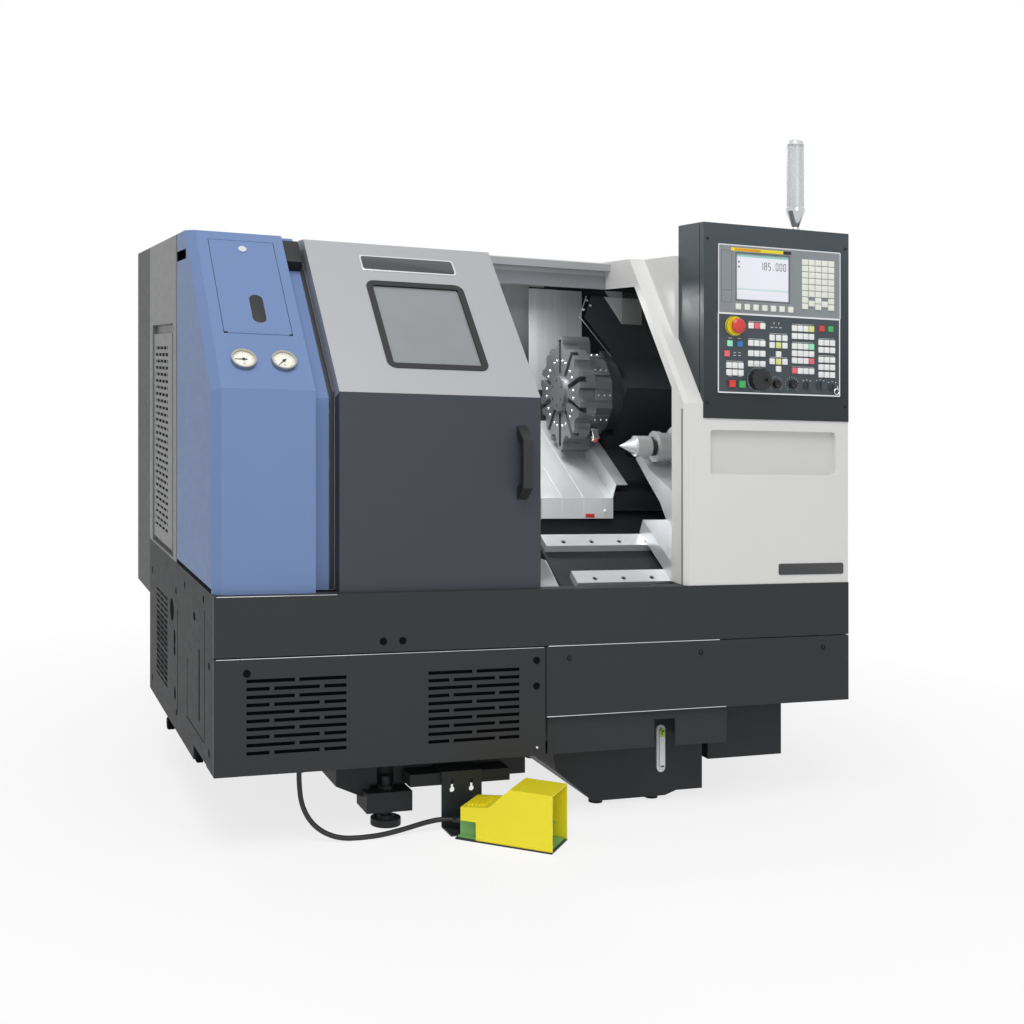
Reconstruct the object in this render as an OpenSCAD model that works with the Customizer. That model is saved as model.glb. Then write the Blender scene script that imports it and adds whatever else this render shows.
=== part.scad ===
// Compact slant-bed turning centre with a sliding front door, turret, tailstock and foot switch.
// Modelled from the left front corner of the base: +X right, +Y back, +Z up, floor at z = 0.

/* [Machine] */
// Width of the machine
machine_w = 1830; // [1790:5:1900]
// Depth from the base front to the back of the electrical cabinet
machine_d = 1480; // [1440:10:1600]
// Height of the roof
roof_z = 1555; // [1540:5:1600]
// Height of the sill at the top of the base
sill_z = 630; // [620:2:640]
// Height at which the front starts to lean back
knee_z = 1138; // [1120:2:1150]
// Angle of the leaning front above the level
slope_deg = 46.5; // [45:0.5:48]
// Setback of the cover fronts behind the base front
front_y = 20; // [16:1:26]
// Thickness of the cover sheets
sheet = 3; // [2:0.5:4]
// Gap between neighbouring covers
seam = 3; // [2:0.5:4]
// Gap under a sliding face
slide_gap = 0.3; // [0.2:0.05:0.4]
// Radial gap of a turning shaft
shaft_gap = 0.05; // [0.02:0.01:0.1]

/* [Base] */
// Height of the band under the sill
band_h = 150; // [130:5:170]
// Width of the flange round the top of the band
band_flange = 45; // [35:1:60]
// Depth of the base
base_d = 1160; // [1140:5:1180]
// Bottom of the left lower cover
left_cover_z = 190; // [180:2:220]
// Bottom of the right lower cover
right_cover_z = 290; // [280:2:300]
// Width of the left lower cover
left_cover_w = 875; // [840:5:880]
// Depth of the folded edges of the lower covers
cover_fold = 25; // [15:1:35]
// Depth of the left cover's bottom fold
bottom_fold = 110; // [95:1:120]
// Bottom of the left skirt
skirt_z = 155; // [140:1:175]
// Distance of the skirt's lower part behind the base front
skirt_step_y = 305; // [260:5:340]
// Width of a field of louvre slots
louvre_w = 252; // [220:2:270]
// Height of a field of louvre slots
louvre_h = 186; // [150:2:200]
// Rows of louvre slots
louvre_rows = 10; // [6:1:12]
// Height of a louvre slot
slot_h = 9; // [6:0.5:11]
// Distance of a louvre field from the cover's end
louvre_in = 76; // [60:1:84]
// Height of the louvre fields above the cover's bottom
louvre_rise = 50; // [40:1:60]

/* [Bed and feet] */
// Left end of the bed casting
bed_x0 = 340; // [330:2:360]
// Distance of the bed casting's right end from the right side
bed_end = 140; // [100:2:150]
// Underside of the bed casting
bed_z = 105; // [95:1:115]
// Height of a foot lug
lug_h = 52; // [40:1:56]
// Width of a foot lug
lug_w = 124; // [100:2:140]
// Diameter of a levelling pad
pad_d = 80; // [60:1:100]
// Thickness of a levelling pad
pad_h = 18; // [12:1:24]
// Diameter of a levelling screw
screw_d = 24; // [16:1:30]

/* [Coolant tank] */
// Left end of the tank apron
tank_x = 884; // [880:1:900]
// Width of the tank apron
tank_w = 547; // [500:1:580]
// Bottom of the apron
apron_z = 188; // [175:1:200]
// Front of the tank body
tank_y = 130; // [110:1:150]
// Bottom of the tank body
tank_z = 14; // [10:1:30]
// Left edge of the gauge notch in the apron
notch_x = 1203; // [1190:1:1215]
// Width of the gauge notch in the apron
notch_w = 65; // [55:1:80]
// Height of the level gauge
level_h = 110; // [90:1:130]
// Width of the level gauge
level_w = 26; // [20:1:32]

/* [Blue cover] */
// Width of the blue cover's front
blue_w = 257; // [245:1:265]
// Depth of the blue cover
blue_d = 590; // [560:2:620]
// Bevel of the blue cover's left edge
blue_bevel = 22; // [10:1:30]
// Width of the set-back strip beside the blue cover
strip_w = 46; // [36:1:52]
// Setback of that strip
strip_back = 48; // [40:1:55]
// Left edge of the access door
access_x = 53; // [45:1:60]
// Width of the access door
access_w = 175; // [150:1:185]
// Lower edge of the access door, up the slope from the knee
access_s = 192; // [180:1:200]
// Length of the access door up the slope
access_l = 350; // [300:1:356]
// Gap round the access door
access_gap = 1.5; // [1:0.1:2]
// Radius of the access door's hinge barrel
barrel_r = 3; // [2.5:0.1:4]
// Width of the oval recess in the access door
oval_w = 36; // [28:1:44]
// Length of the oval recess
oval_l = 103; // [80:1:120]
// Diameter of the lock
lock_d = 18; // [14:1:24]
// Diameter of a pressure gauge
gauge_d = 63; // [50:1:70]
// Height of a pressure gauge over the slope
gauge_h = 12; // [8:1:16]
// Width of a gauge's rim
gauge_rim = 4; // [3:0.5:6]
// Place of the left gauge across the cover
gauge_x0 = 88; // [80:1:92]
// Distance between the gauges
gauge_pitch = 102; // [90:1:106]
// Place of the gauges up the slope
gauge_s = 93; // [80:1:110]

/* [Front door] */
// Left edge of the open door
door_x = 318; // [312:1:324]
// Width of the door
door_w = 550; // [530:2:556]
// Thickness of the door
door_t = 45; // [36:1:50]
// Left edge of the window from the door's left edge
window_dx = 150; // [130:1:170]
// Width of the window
window_w = 277; // [240:1:290]
// Lower edge of the window, up the slope from the knee
window_s = 92; // [80:1:110]
// Length of the window up the slope
window_l = 322; // [280:1:340]
// Corner radius of the window
window_r = 22; // [15:1:30]
// Width of the window seal
seal_w = 15; // [10:1:20]
// Thickness of the window pane
pane_t = 6; // [4:0.5:8]
// Length of the door handle
handle_l = 196; // [160:2:220]
// Reach of the handle from the door
handle_reach = 46; // [40:1:55]
// Thickness of the handle bar
handle_t = 20; // [16:1:24]
// Width of the handle bar
handle_w = 28; // [22:1:34]
// Left edge of the handle from the door's left edge
handle_dx = 482; // [460:1:500]
// Bottom of the handle
handle_z = 866; // [840:2:880]

/* [Door frame] */
// Distance of the frame behind the door
frame_gap = 8; // [6:0.5:12]
// Left wall of the work area
wall_x = 700; // [690:2:720]
// Left edge of the opening
opening_x = 752; // [748:1:756]
// Distance of the header's top under the roof
header_drop = 9; // [6:1:14]
// Height of the header's front flange
flange_h = 21; // [15:1:26]
// Height of the header's set-back plate
header_h = 54; // [40:1:64]
// Setback of that plate behind the flange
header_back = 36; // [24:1:44]
// Depth of the fold beside the opening
reveal = 25; // [15:1:30]

/* [Right cover and control] */
// Width of the right cover
right_w = 534; // [528:1:540]
// Setback of the right cover's front behind the base front
right_y = 3; // [2:0.5:6]
// Angle of the right cover's leaning front above the level
right_deg = 51.5; // [50:0.5:53]
// Bevel of the right cover's left edge
right_bevel = 11; // [6:1:14]
// Depth of the right cover's wall beside the opening
side_wall = 81; // [70:1:90]
// Depth of that wall along the leaning edge
lean_wall = 39; // [30:1:45]
// Width of the upright part of the right cover
upright_w = 492; // [485:1:496]
// Depth of the upright front above the slope
upright_y = 146; // [130:1:160]
// Distance of the recess from the right side
recess_in = 43; // [36:1:50]
// Width of the recess
recess_w = 413; // [380:1:420]
// Bottom of the recess
recess_z = 940; // [920:1:950]
// Height of the recess
recess_h = 124; // [100:1:130]
// Depth of the recess
recess_t = 16; // [8:1:24]
// Width of the control box
control_w = 479; // [470:1:484]
// Bottom of the control box
control_z0 = 1096; // [1085:1:1105]
// Top of the control box
control_z1 = 1642; // [1620:1:1660]
// Width of the display and the key panel
panel_w = 400; // [380:1:405]
// Distance of the panels from the box's left edge
panel_dx = 42; // [36:1:48]
// Bottom of the key panel
panel_z = 1170; // [1160:1:1176]
// Height of the key panel
panel_h = 220; // [214:1:226]
// Height of the display unit
display_h = 190; // [180:1:200]
// Thickness of the display unit
display_t = 10; // [8:0.5:14]
// Thickness of the key panel
panel_t = 8; // [6:0.5:10]
// Size of a key
key = 16; // [12:0.5:17]
// Height of a key
key_h = 3; // [2:0.5:4]
// Diameter of the stop button's collar
collar_d = 56; // [50:1:60]
// Diameter of the stop button
stop_d = 42; // [36:1:48]
// Travel of the stop button
stop_travel = 5; // [4:0.5:6]
// Travel of a push button
button_travel = 3; // [2:0.5:4]
// Diameter of the handwheel
wheel_d = 62; // [50:1:64]
// Diameter of an override knob
knob_d = 24; // [18:1:28]
// Height of the lamp
lamp_h = 265; // [220:5:300]
// Diameter of the lamp
lamp_d = 50; // [40:1:60]
// Distance of the lamp from the right side
lamp_dx = 147; // [120:1:200]
// Distance of the lamp behind the control's front
lamp_y = 52; // [44:1:60]
// Distance of the groove behind the control's front
groove_y = 20; // [14:1:30]

/* [Work area] */
// Depth of the spindle axis behind the base front
spindle_y = 450; // [446:1:454]
// Height of the spindle axis
spindle_z = 990; // [986:1:994]
// Slant of the bed
slant_deg = 30; // [29:0.5:31]
// Distance of the way cover under the spindle axis
cover_drop = 191; // [190:0.5:196]
// Height of the lip at the foot of the way cover
lip_h = 64; // [50:1:70]
// Distance of the work area's rear wall from the back
liner_back = 150; // [130:2:160]
// Diameter of the spindle
spindle_d = 90; // [80:1:110]
// Diameter of the chuck
chuck_d = 165; // [150:1:175]
// Length of the chuck
chuck_l = 90; // [80:1:95]
// Distance of the saddle's left edge from the right side
saddle_in = 499; // [490:1:505]
// Width of the saddle
saddle_w = 309; // [290:1:315]
// Travel of the saddle
saddle_travel = 240; // [200:5:242]

/* [Turret] */
// Distance of the turret axis up the slant from the spindle axis
turret_t = 302; // [296:1:310]
// Distance of the turret disc's face from the saddle's left edge
disc_out = 103; // [99:1:109]
// Thickness of the turret disc
disc_l = 56; // [48:1:60]
// Reach of the turret disc's holder lobes
disc_r = 186; // [180:0.5:187]
// Radius of the turret disc's rim
rim_r = 158; // [150:1:165]
// Stations of the turret
stations = 10; // [8:1:12]
// Width of a tool slot
tool_slot = 17; // [14:0.5:20]
// Radius of the turret drum
drum_r = 132; // [125:1:136]

/* [Tailstock] */
// Distance of the rails under the spindle axis
rail_drop = 170; // [166:1:174]
// Width of a rail
rail_w = 54; // [48:1:56]
// Thickness of a rail
rail_h = 22; // [18:1:24]
// Lower edge of the front rail along the slant from the spindle axis
front_rail_t = -444; // [-448:1:-440]
// Distance between the rails' lower edges
rail_pitch = 170; // [166:1:174]
// Length of the front rail
front_rail_l = 644; // [640:1:660]
// Length of the rear rail
rear_rail_l = 676; // [666:1:680]
// Distance of the tailstock base's left face from the right side
tail_in = 500; // [485:1:504]
// Width of the tailstock base
tail_w = 240; // [220:2:250]
// Diameter of the quill
quill_d = 85; // [76:1:90]
// Reach of the live centre from the tailstock base's left face
centre_out = 20; // [12:1:22]
// Diameter of the live centre's body
centre_d = 64; // [56:1:66]

/* [Electrical cabinet] */
// Width of the cabinet
cabinet_w = 950; // [900:10:1000]
// Bottom of the cabinet
cabinet_z = 457; // [440:1:470]
// Thickness of the cabinet door
cabinet_door_t = 18; // [14:1:22]
// Margin of the cabinet door inside the cabinet's edges
cabinet_margin = 26; // [22:1:34]

/* [Foot switch] */
// Left front corner of the switch across the machine
pedal_x = 609; // [600:1:620]
// Left front corner of the switch from the base front
pedal_y = -30; // [-40:1:-26]
// Turn of the switch
pedal_turn = -42; // [-45:0.5:-40]
// Length of the switch
pedal_l = 262; // [250:1:275]
// Width of the switch
pedal_w = 125; // [115:1:135]
// Height of the guard
guard_h = 146; // [130:1:160]
// Diameter of the cord
cord_d = 13; // [10:0.5:14]
// Front of the bracket plate
bracket_y = 64; // [58:1:70]
// Width of the bracket plate
bracket_w = 112; // [100:1:120]
// Height of the bracket plate
bracket_h = 146; // [120:1:150]

/* [Hidden] */
$fn = 64;
eps = 0.5;

// The origin lies at the middle of the bounding box on the floor
pedal_front = pedal_y + pedal_l * sin(pedal_turn);
mid_y = (machine_d + pedal_front) / 2;
module place() translate([-machine_w / 2, -mid_y, 0]) children();

// Leaning front: inset is the distance inside the outer face, s runs up the slope from the knee
slope_len = (roof_z - knee_z) / sin(slope_deg);
function knee_at(inset, y = front_y, lean = slope_deg) =
    [y + inset, knee_z - inset * (1 - sin(lean)) / cos(lean)];
function lean_at(inset, z, y = front_y, lean = slope_deg) =
    [y + (z - knee_z) / tan(lean) + inset / sin(lean), z];
function front_band(d0, d1, low, top) = [
    [front_y + d0, low], knee_at(d0), lean_at(d0, top),
    lean_at(d1, top), knee_at(d1), [front_y + d1, low]
];

// Slanted bed: t runs up the slant and n stands off it, both from the spindle axis
function on_slant(t, n) = [
    spindle_y + t * cos(slant_deg) - n * sin(slant_deg),
    spindle_z + t * sin(slant_deg) + n * cos(slant_deg)
];

// Shared places
band_z = sill_z - band_h;
cover_top = sill_z + slide_gap;
back_y = base_d;
cabinet_y = back_y + slide_gap;
strip_x1 = blue_w + strip_w;
frame_inset = door_t + frame_gap;
door_z = sill_z + slide_gap;
door_top = roof_z - 5;
door_x1 = door_x + door_w;
trough_z = sill_z - 70;
right_x = machine_w - right_w;
upright_x = machine_w - upright_w;
control_x = machine_w - control_w;
recess_x = machine_w - recess_in - recess_w;
bed_x1 = machine_w - bed_end;
rail_x1 = bed_x1 - 10;
rail_x = [rail_x1 - front_rail_l, rail_x1 - rear_rail_l];
rail_t = [front_rail_t, front_rail_t + rail_pitch];
saddle_x = machine_w - saddle_in;
disc_x = saddle_x - disc_out;
tail_x = machine_w - tail_in;
centre_x = tail_x - centre_out;
liner_y = base_d - liner_back;
header_z = roof_z - header_drop;
header_y = lean_at(frame_inset, header_z)[0];
lintel_z = header_z - flange_h - header_h;
gauge_x = [gauge_x0, gauge_x0 + gauge_pitch];
pedestal_x = min(rail_x) - 8;
pedestal_n = -rail_drop - rail_h;
bed_n = -cover_drop - 74;
track_n = bed_n + 25;
saddle_n = -cover_drop + 49;
bed_y0 = 139;
bed_y1 = base_d - 100;
housing_x = disc_x + disc_l + 112;
spindle_r = spindle_d / 2;
chuck_x = wall_x + 40;
jaw_x = chuck_x + chuck_l;
quill_x = centre_x + 120;
head_x = tail_x + 170;
head_x1 = tail_x + tail_w + 70;
panel_x = control_x + panel_dx;
display_z = panel_z + panel_h + 2;
button_bore = 5;
stem_r = 6;

// A box between two corners
module block(lo, hi) translate(lo) cube(hi - lo);

// A (y, z) outline drawn out between two places across the machine
module along_x(x0, x1) translate([x0, 0, 0]) rotate([90, 0, 90]) linear_extrude(x1 - x0) children();

// Local frame on the slope: X across, Y up the slope, Z out of it
module on_slope(x, s, lift = 0)
    translate([x, front_y + s * cos(slope_deg), knee_z + s * sin(slope_deg)])
        rotate([slope_deg, 0, 0]) translate([0, 0, lift]) children();

// Local frame on a front face: X across, Y up, Z out of it
module on_front(x, y, z) translate([x, y, z]) rotate([90, 0, 0]) children();

// Local frame of the slanted bed
module slant() translate([0, spindle_y, spindle_z]) rotate([slant_deg, 0, 0]) children();

// A cylinder across the machine, at t and n on the slant
module rod_x(x0, x1, r, t = 0, n = 0)
    translate([x0, on_slant(t, n)[0], on_slant(t, n)[1]]) rotate([0, 90, 0]) cylinder(r = r, h = x1 - x0);

// A rectangle with round corners, its corner at the origin
module round_rect(w, h, r) {
    translate([r, 0]) square([w - 2 * r, h]);
    translate([0, r]) square([w, h - 2 * r]);
    for (x = [r, w - r], y = [r, h - r]) translate([x, y]) circle(r);
}

// A long hole with round ends, centred
module oval(w, l) {
    translate([-w / 2, -(l - w) / 2]) square([w, l - w]);
    for (side = [-1, 1]) translate([0, side * (l - w) / 2]) circle(w / 2);
}

// Rows of slots, three and two in turn, in a field from the origin
module louvre_field(w, h, rows) {
    pitch = (h - slot_h) / (rows - 1);
    web = w / 22;
    for (row = [0 : rows - 1]) translate([0, row * pitch]) {
        if (row % 2 == 0) {
            end = (w - 2 * web) / 4;
            for (x = [0, w - end]) translate([x, 0]) square([end, slot_h]);
            translate([end + web, 0]) square([w - 2 * end - 2 * web, slot_h]);
        } else {
            half = (w - web) / 2;
            for (x = [0, half + web]) translate([x, 0]) square([half, slot_h]);
        }
    }
}

// Base

// A foot lug reaches from its front to its back round the screw
lug_front = 38;
lug_back = 60;
lug_z = bed_z - 12;
module foot_lug(x, y)
    block([x - lug_w / 2, y - lug_front, lug_z - lug_h], [x + lug_w / 2, y + lug_back, lug_z]);

nut_d = screw_d * 1.7;
nut_h = 10;
foot_right = [machine_w - 70, 560];
tank_back = base_d - 460;
feet = [[bed_x0 + 133, bed_y0 - 4], foot_right, [bed_x0 + 133, bed_y1 - 70], [bed_x1 - 130, bed_y1 - 70]];

module bed_casting() color("#2b2d2f") difference() {
    union() {
        block([bed_x0, bed_y0, bed_z], [bed_x1, bed_y1, trough_z]);
        // Web that tapers to the left foot
        translate([0, bed_y0 + 60, 0]) rotate([90, 0, 0]) linear_extrude(60)
            polygon([[bed_x0, bed_z + eps], [bed_x0 + 90, bed_z - 40], [bed_x0 + 90, bed_z + eps]]);
        // Slanted rear bed under the saddle
        along_x(bed_x0, bed_x1) polygon([
            [on_slant(-20, bed_n)[0] - 25, trough_z - eps], on_slant(-20, bed_n), on_slant(430, bed_n),
            [bed_y1, on_slant(430, bed_n)[1]], [bed_y1, trough_z - eps]
        ]);
        // Front bed under the tailstock rails
        along_x(pedestal_x, bed_x1) polygon([
            [bed_y0, trough_z - eps], [bed_y0, on_slant(rail_t[0] - 26, pedestal_n)[1]],
            on_slant(rail_t[1] + rail_w + 24, pedestal_n),
            [on_slant(rail_t[1] + rail_w + 24, pedestal_n)[0], trough_z - eps]
        ]);
        for (foot = feet) foot_lug(foot[0], foot[1]);
        // Arm out to the right foot
        block([bed_x1 - eps, foot_right[1] - lug_front, lug_z - lug_h],
            [foot_right[0], foot_right[1] + lug_back, bed_z + 60]);
        // Ribs that join the other lugs to the underside
        for (foot = [feet[0], feet[2], feet[3]])
            block([foot[0] - lug_w / 2, foot[1] + 26, lug_z - eps],
                [foot[0] + lug_w / 2, foot[1] + lug_back, bed_z + eps]);
        // Cross rail that the pedal bracket hooks on
        block([bed_x0 + 180, bracket_y + 8, bed_z + 5],
            [bed_x0 + 460, bed_y0 + eps, bracket_h - bracket_t - slide_gap]);
    }
    for (foot = feet) translate([foot[0], foot[1], 0]) {
        cylinder(d = screw_d, h = bed_z + 30);
        // Room for the lock nut above the lug
        translate([0, 0, lug_z]) cylinder(d = nut_d + 6, h = 74);
    }
    // Room for the coolant tank
    block([tank_x - 12, 0, 0], [tank_x + tank_w + 12, tank_back + 10, right_cover_z + 6]);
}

module guideways() color("#c9cccf") slant() {
    for (i = [0, 1]) difference() {
        block([rail_x[i], rail_t[i], pedestal_n], [rail_x1, rail_t[i] + rail_w, -rail_drop]);
        for (x = [rail_x[i] + 60 : 90 : bed_x1 - 40])
            translate([x, rail_t[i] + 18, -rail_drop - 8]) cylinder(d = 14, h = 8 + eps);
    }
    for (t = [30, 370])
        block([wall_x + 60, t, bed_n], [rail_x1, t + 35, track_n]);
}

module levelling_feet() color("#3a3c3e") for (foot = feet) translate([foot[0], foot[1], 0]) {
    cylinder(d = pad_d, h = pad_h);
    cylinder(d1 = pad_d * 0.75, d2 = pad_d * 0.5, h = pad_h + 8);
    cylinder(d = screw_d, h = bed_z + 22);
    for (z = [lug_z - lug_h - nut_h, lug_z]) translate([0, 0, z]) cylinder(d = nut_d, h = nut_h, $fn = 6);
}

module chip_pan() color("#3a3b3d") difference() {
    block([0, 0, band_z], [machine_w, base_d, sill_z]);
    block([sheet, sheet, band_z - eps], [machine_w - sheet, base_d - sheet, sill_z - sheet]);
    block([band_flange, band_flange, band_z],
        [machine_w - band_flange, base_d - band_flange, sill_z + eps]);
    // The left skirt stands in place of the left wall
    block([-eps, cover_fold, band_z - eps], [sheet + eps, base_d + eps, sill_z - sheet]);
}

module chip_chute() color("#9da2a6") {
    // Floor of the trough on the bed, beside and behind the tailstock rails
    back = on_slant(-20, bed_n)[0] - 25;
    block([wall_x + sheet, bed_y0, trough_z], [pedestal_x - 1, back, trough_z + sheet]);
    block([pedestal_x - 1 - eps, on_slant(rail_t[1] + rail_w + 24, pedestal_n)[0] + 1, trough_z],
        [bed_x1, back, trough_z + sheet]);
    // Apron that falls from the sill
    along_x(wall_x + sheet, pedestal_x - 1) polygon([
        [band_flange - 12, sill_z - sheet], [bed_y0 + sheet, trough_z],
        [bed_y0 + 2 * sheet, trough_z + sheet], [band_flange, sill_z - sheet]
    ]);
}

// Tabs that hang a lower cover from the band
module hang_tabs(places) for (x = places)
    block([x, sheet + 1, band_z - seam - sheet], [x + 40, cover_fold, band_z - slide_gap]);

module lower_left_cover() color("#3e3f41") {
    hang_tabs([60, left_cover_w - 100]);
    left_cover_sheet();
}

module left_cover_sheet() difference() {
    block([0, 0, left_cover_z], [left_cover_w - seam / 2, bottom_fold, band_z - seam]);
    block([sheet, sheet, left_cover_z + sheet],
        [left_cover_w - seam / 2 - sheet, bottom_fold + eps, band_z - seam - sheet]);
    block([-eps, cover_fold, left_cover_z + sheet], [left_cover_w + eps, bottom_fold + eps, band_z + eps]);
    for (x = [louvre_in + 3, left_cover_w - louvre_in - louvre_w])
        on_front(x, 0, left_cover_z + louvre_rise) translate([0, 0, -sheet - eps])
            linear_extrude(sheet + 2 * eps) louvre_field(louvre_w, louvre_h, louvre_rows);
    translate([cord_route[0][0], cord_route[0][1], left_cover_z - eps])
        cylinder(d = gland_d, h = sheet + 2 * eps);
}

module lower_right_cover() color("#3e3f41") {
    hang_tabs([left_cover_w + 60, machine_w - 100]);
    right_cover_sheet();
}

module right_cover_sheet() difference() {
    block([left_cover_w + seam / 2, 0, right_cover_z], [machine_w, base_d, band_z - seam]);
    block([left_cover_w - eps, sheet, right_cover_z + sheet],
        [machine_w - sheet, base_d - sheet, band_z - seam - sheet]);
    block([left_cover_w - eps, cover_fold, right_cover_z - eps],
        [machine_w - cover_fold, base_d - cover_fold, band_z]);
}

skirt_top = sill_z - sheet - slide_gap;
skirt_front_z = left_cover_z + sheet + slide_gap;
module left_skirt() color("#3b3d3e") difference() {
    union() {
        along_x(0, sheet) polygon([
            [cover_fold + seam, skirt_front_z], [skirt_step_y, skirt_front_z], [skirt_step_y, skirt_z],
            [base_d, skirt_z], [base_d, skirt_top], [cover_fold + seam, skirt_top]
        ]);
        block([0, base_d - sheet, skirt_z], [left_cover_w - seam / 2, base_d, band_z - seam]);
    }
    // Upright slots of the service panel and of the fan
    skirt_slot(216, left_cover_z + 180, 18, 190);
    for (y = [790 : 22 : 1000], z = [fan_z, fan_z + 95]) skirt_slot(y, z, 9, 82);
}
fan_z = left_cover_z + 102;
module skirt_slot(y, z, w, l)
    translate([-eps, y, z]) rotate([90, 0, 90]) linear_extrude(sheet + 2 * eps) oval(w, l);

module coolant_tank() color("#34383a") difference() {
    apron_top = right_cover_z - slide_gap;
    apron_y = 12;
    union() {
        translate([0, tank_back, 0]) rotate([90, 0, 0]) linear_extrude(tank_back - tank_y) polygon([
            [tank_x + 40, apron_top], [tank_x + 76, tank_z + 92], [tank_x + 189, tank_z],
            [tank_x + 415, tank_z], [tank_x + 451, tank_z + 12], [tank_x + tank_w - 12, tank_z + 12],
            [tank_x + tank_w - 12, apron_top]
        ]);
        for (x = [tank_x + 215, tank_x + 390], y = [tank_y + 40, tank_back - 60])
            translate([x, y, 0]) cylinder(d = 40, h = tank_z + eps);
        block([tank_x, apron_y, apron_z], [tank_x + tank_w, apron_y + sheet, apron_top]);
        block([tank_x, apron_y, apron_z], [tank_x + tank_w, tank_y + eps, apron_z + sheet]);
        block([tank_x, apron_y, apron_top - sheet], [tank_x + tank_w, tank_y + eps, apron_top]);
    }
    block([notch_x, 0, apron_z - eps], [notch_x + notch_w, 40, apron_top - 26]);
    block([notch_x, apron_y + sheet, apron_z - eps], [notch_x + notch_w + 62, tank_y, apron_z + 40]);
}

module level_gauge() color("#dfe6df") translate([notch_x + 80, tank_y, apron_z - 38]) {
    rotate([90, 0, 0]) linear_extrude(7) oval(level_w, level_h + 2 * 12);
    translate([0, -7, 0]) rotate([90, 0, 0]) linear_extrude(8) oval(level_w * 0.6, level_h);
}

// Enclosure

module headstock_cover() color("#7c7e7c") {
    difference() {
        union() {
            block([0, blue_d + seam, cover_top], [sheet, back_y, roof_z]);
            block([0, blue_d + seam, roof_z - sheet], [strip_x1, back_y, roof_z]);
            // Tray round the vent panel
            block([0, vent_y - sheet, vent_z - sheet],
                [vent_sink + sheet, vent_y + vent_l + sheet, vent_z + vent_h + sheet]);
        }
        block([-eps, vent_y, vent_z], [vent_sink, vent_y + vent_l, vent_z + vent_h]);
        block([-eps, grille_y + sheet, grille_z + sheet],
            [vent_sink + sheet + eps, grille_y + grille_l - sheet, grille_z + grille_h - sheet]);
    }
    // Vent panel, folded back to the tray
    difference() {
        block([vent_step, grille_y, grille_z],
            [vent_sink + sheet, grille_y + grille_l, grille_z + grille_h]);
        block([vent_step + sheet, grille_y + sheet, grille_z + sheet],
            [vent_sink + sheet + eps, grille_y + grille_l - sheet, grille_z + grille_h - sheet]);
        translate([vent_step - eps, grille_y + vent_slot_y, grille_z + vent_slot_z]) rotate([90, 0, 90])
            linear_extrude(sheet + 2 * eps) vent_slots();
    }
}
vent_y = blue_d + 75;
vent_l = 432;
vent_z = cover_top + 4;
vent_h = 672;
vent_sink = 14;
vent_step = 2;
grille_y = vent_y + 30;
grille_l = vent_l - 57;
grille_z = vent_z + 18;
grille_h = vent_h - 46;
vent_slot_y = 88;
vent_slot_z = 38;
vent_rows = 28;
vent_pitch = (grille_h - 2 * vent_slot_z - slot_h) / (vent_rows - 1);
vent_slot_l = 52;
vent_web = 16;

// Rows of short slots, every other row shifted by half a slot
module vent_slots() for (row = [0 : vent_rows - 1], i = [0 : 3 + row % 2]) {
    shift = row % 2 == 0 ? 0 : -(vent_slot_l + vent_web) / 2;
    start = max(0, i * (vent_slot_l + vent_web) + shift);
    end = min(4 * vent_slot_l + 3 * vent_web, i * (vent_slot_l + vent_web) + shift + vent_slot_l);
    translate([start, row * vent_pitch]) square([end - start, slot_h]);
}

module electrical_cabinet() color("#77797a") difference() {
    union() {
        block([0, cabinet_y, cabinet_z], [cabinet_w, cabinet_back, roof_z]);
        for (z = hinge_places) cabinet_knuckle(z - hinge_l, z);
        for (z = hinge_places) cabinet_knuckle(z + hinge_l, z + 2 * hinge_l);
        for (z = hinge_places) cabinet_pin(z - hinge_l / 2, access_pin, 2 * hinge_l);
    }
    block([cabinet_margin, cabinet_y + sheet, cabinet_z + cabinet_margin],
        [cabinet_w - cabinet_margin, machine_d + eps, roof_z - cabinet_margin]);
}
cabinet_back = machine_d - cabinet_door_t - slide_gap;
hinge_l = 40;
hinge_places = [cabinet_z + 160, roof_z - 240];
module cabinet_pin(z, r, h) translate([cabinet_margin, machine_d - barrel_r, z]) cylinder(r = r, h = h);
module cabinet_knuckle(z0, z1) {
    cabinet_pin(z0, barrel_r, z1 - z0);
    block([cabinet_margin - 12, cabinet_back - eps, z0], [cabinet_margin, machine_d - barrel_r, z1]);
}

module cabinet_door() color("#808283") difference() {
    union() {
        block([cabinet_margin + barrel_r + 1, machine_d - cabinet_door_t, cabinet_z + 12],
            [cabinet_w - 12, machine_d, roof_z - 12]);
        for (z = hinge_places) {
            cabinet_pin(z + slide_gap, barrel_r, hinge_l - 2 * slide_gap);
            block([cabinet_margin, machine_d - barrel_r, z + slide_gap],
                [cabinet_margin + barrel_r + 2, machine_d, z + hinge_l - slide_gap]);
        }
    }
    block([cabinet_margin + barrel_r + 1 + sheet, machine_d - cabinet_door_t - eps, cabinet_z + 12 + sheet],
        [cabinet_w - 12 - sheet, machine_d - sheet, roof_z - 12 - sheet]);
    for (z = hinge_places) cabinet_pin(z, access_pin + shaft_gap, hinge_l);
    // Sunken grip
    block([cabinet_w - 90, machine_d - sheet - eps, 1000], [cabinet_w - 50, machine_d + eps, 1120]);
}

// Solid inside the blue cover's faces, its left edge bevelled
module blue_body(inset) difference() {
    past = inset > 0 ? eps : 0;
    along_x(inset, blue_w - inset) polygon([
        [front_y + inset, cover_top - past], knee_at(inset), lean_at(inset, roof_z - inset),
        [blue_d + past, roof_z - inset], [blue_d + past, cover_top - past]
    ]);
    cut = blue_bevel + inset * sqrt(2);
    corner = [[-1, -1], [cut + 1, -1], [-1, cut + 1]];
    translate([0, front_y, 0]) linear_extrude(roof_z) polygon(corner);
    on_slope(0, -knee_z) rotate([-90, 0, 0]) linear_extrude(2 * knee_z) polygon(corner);
}

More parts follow.
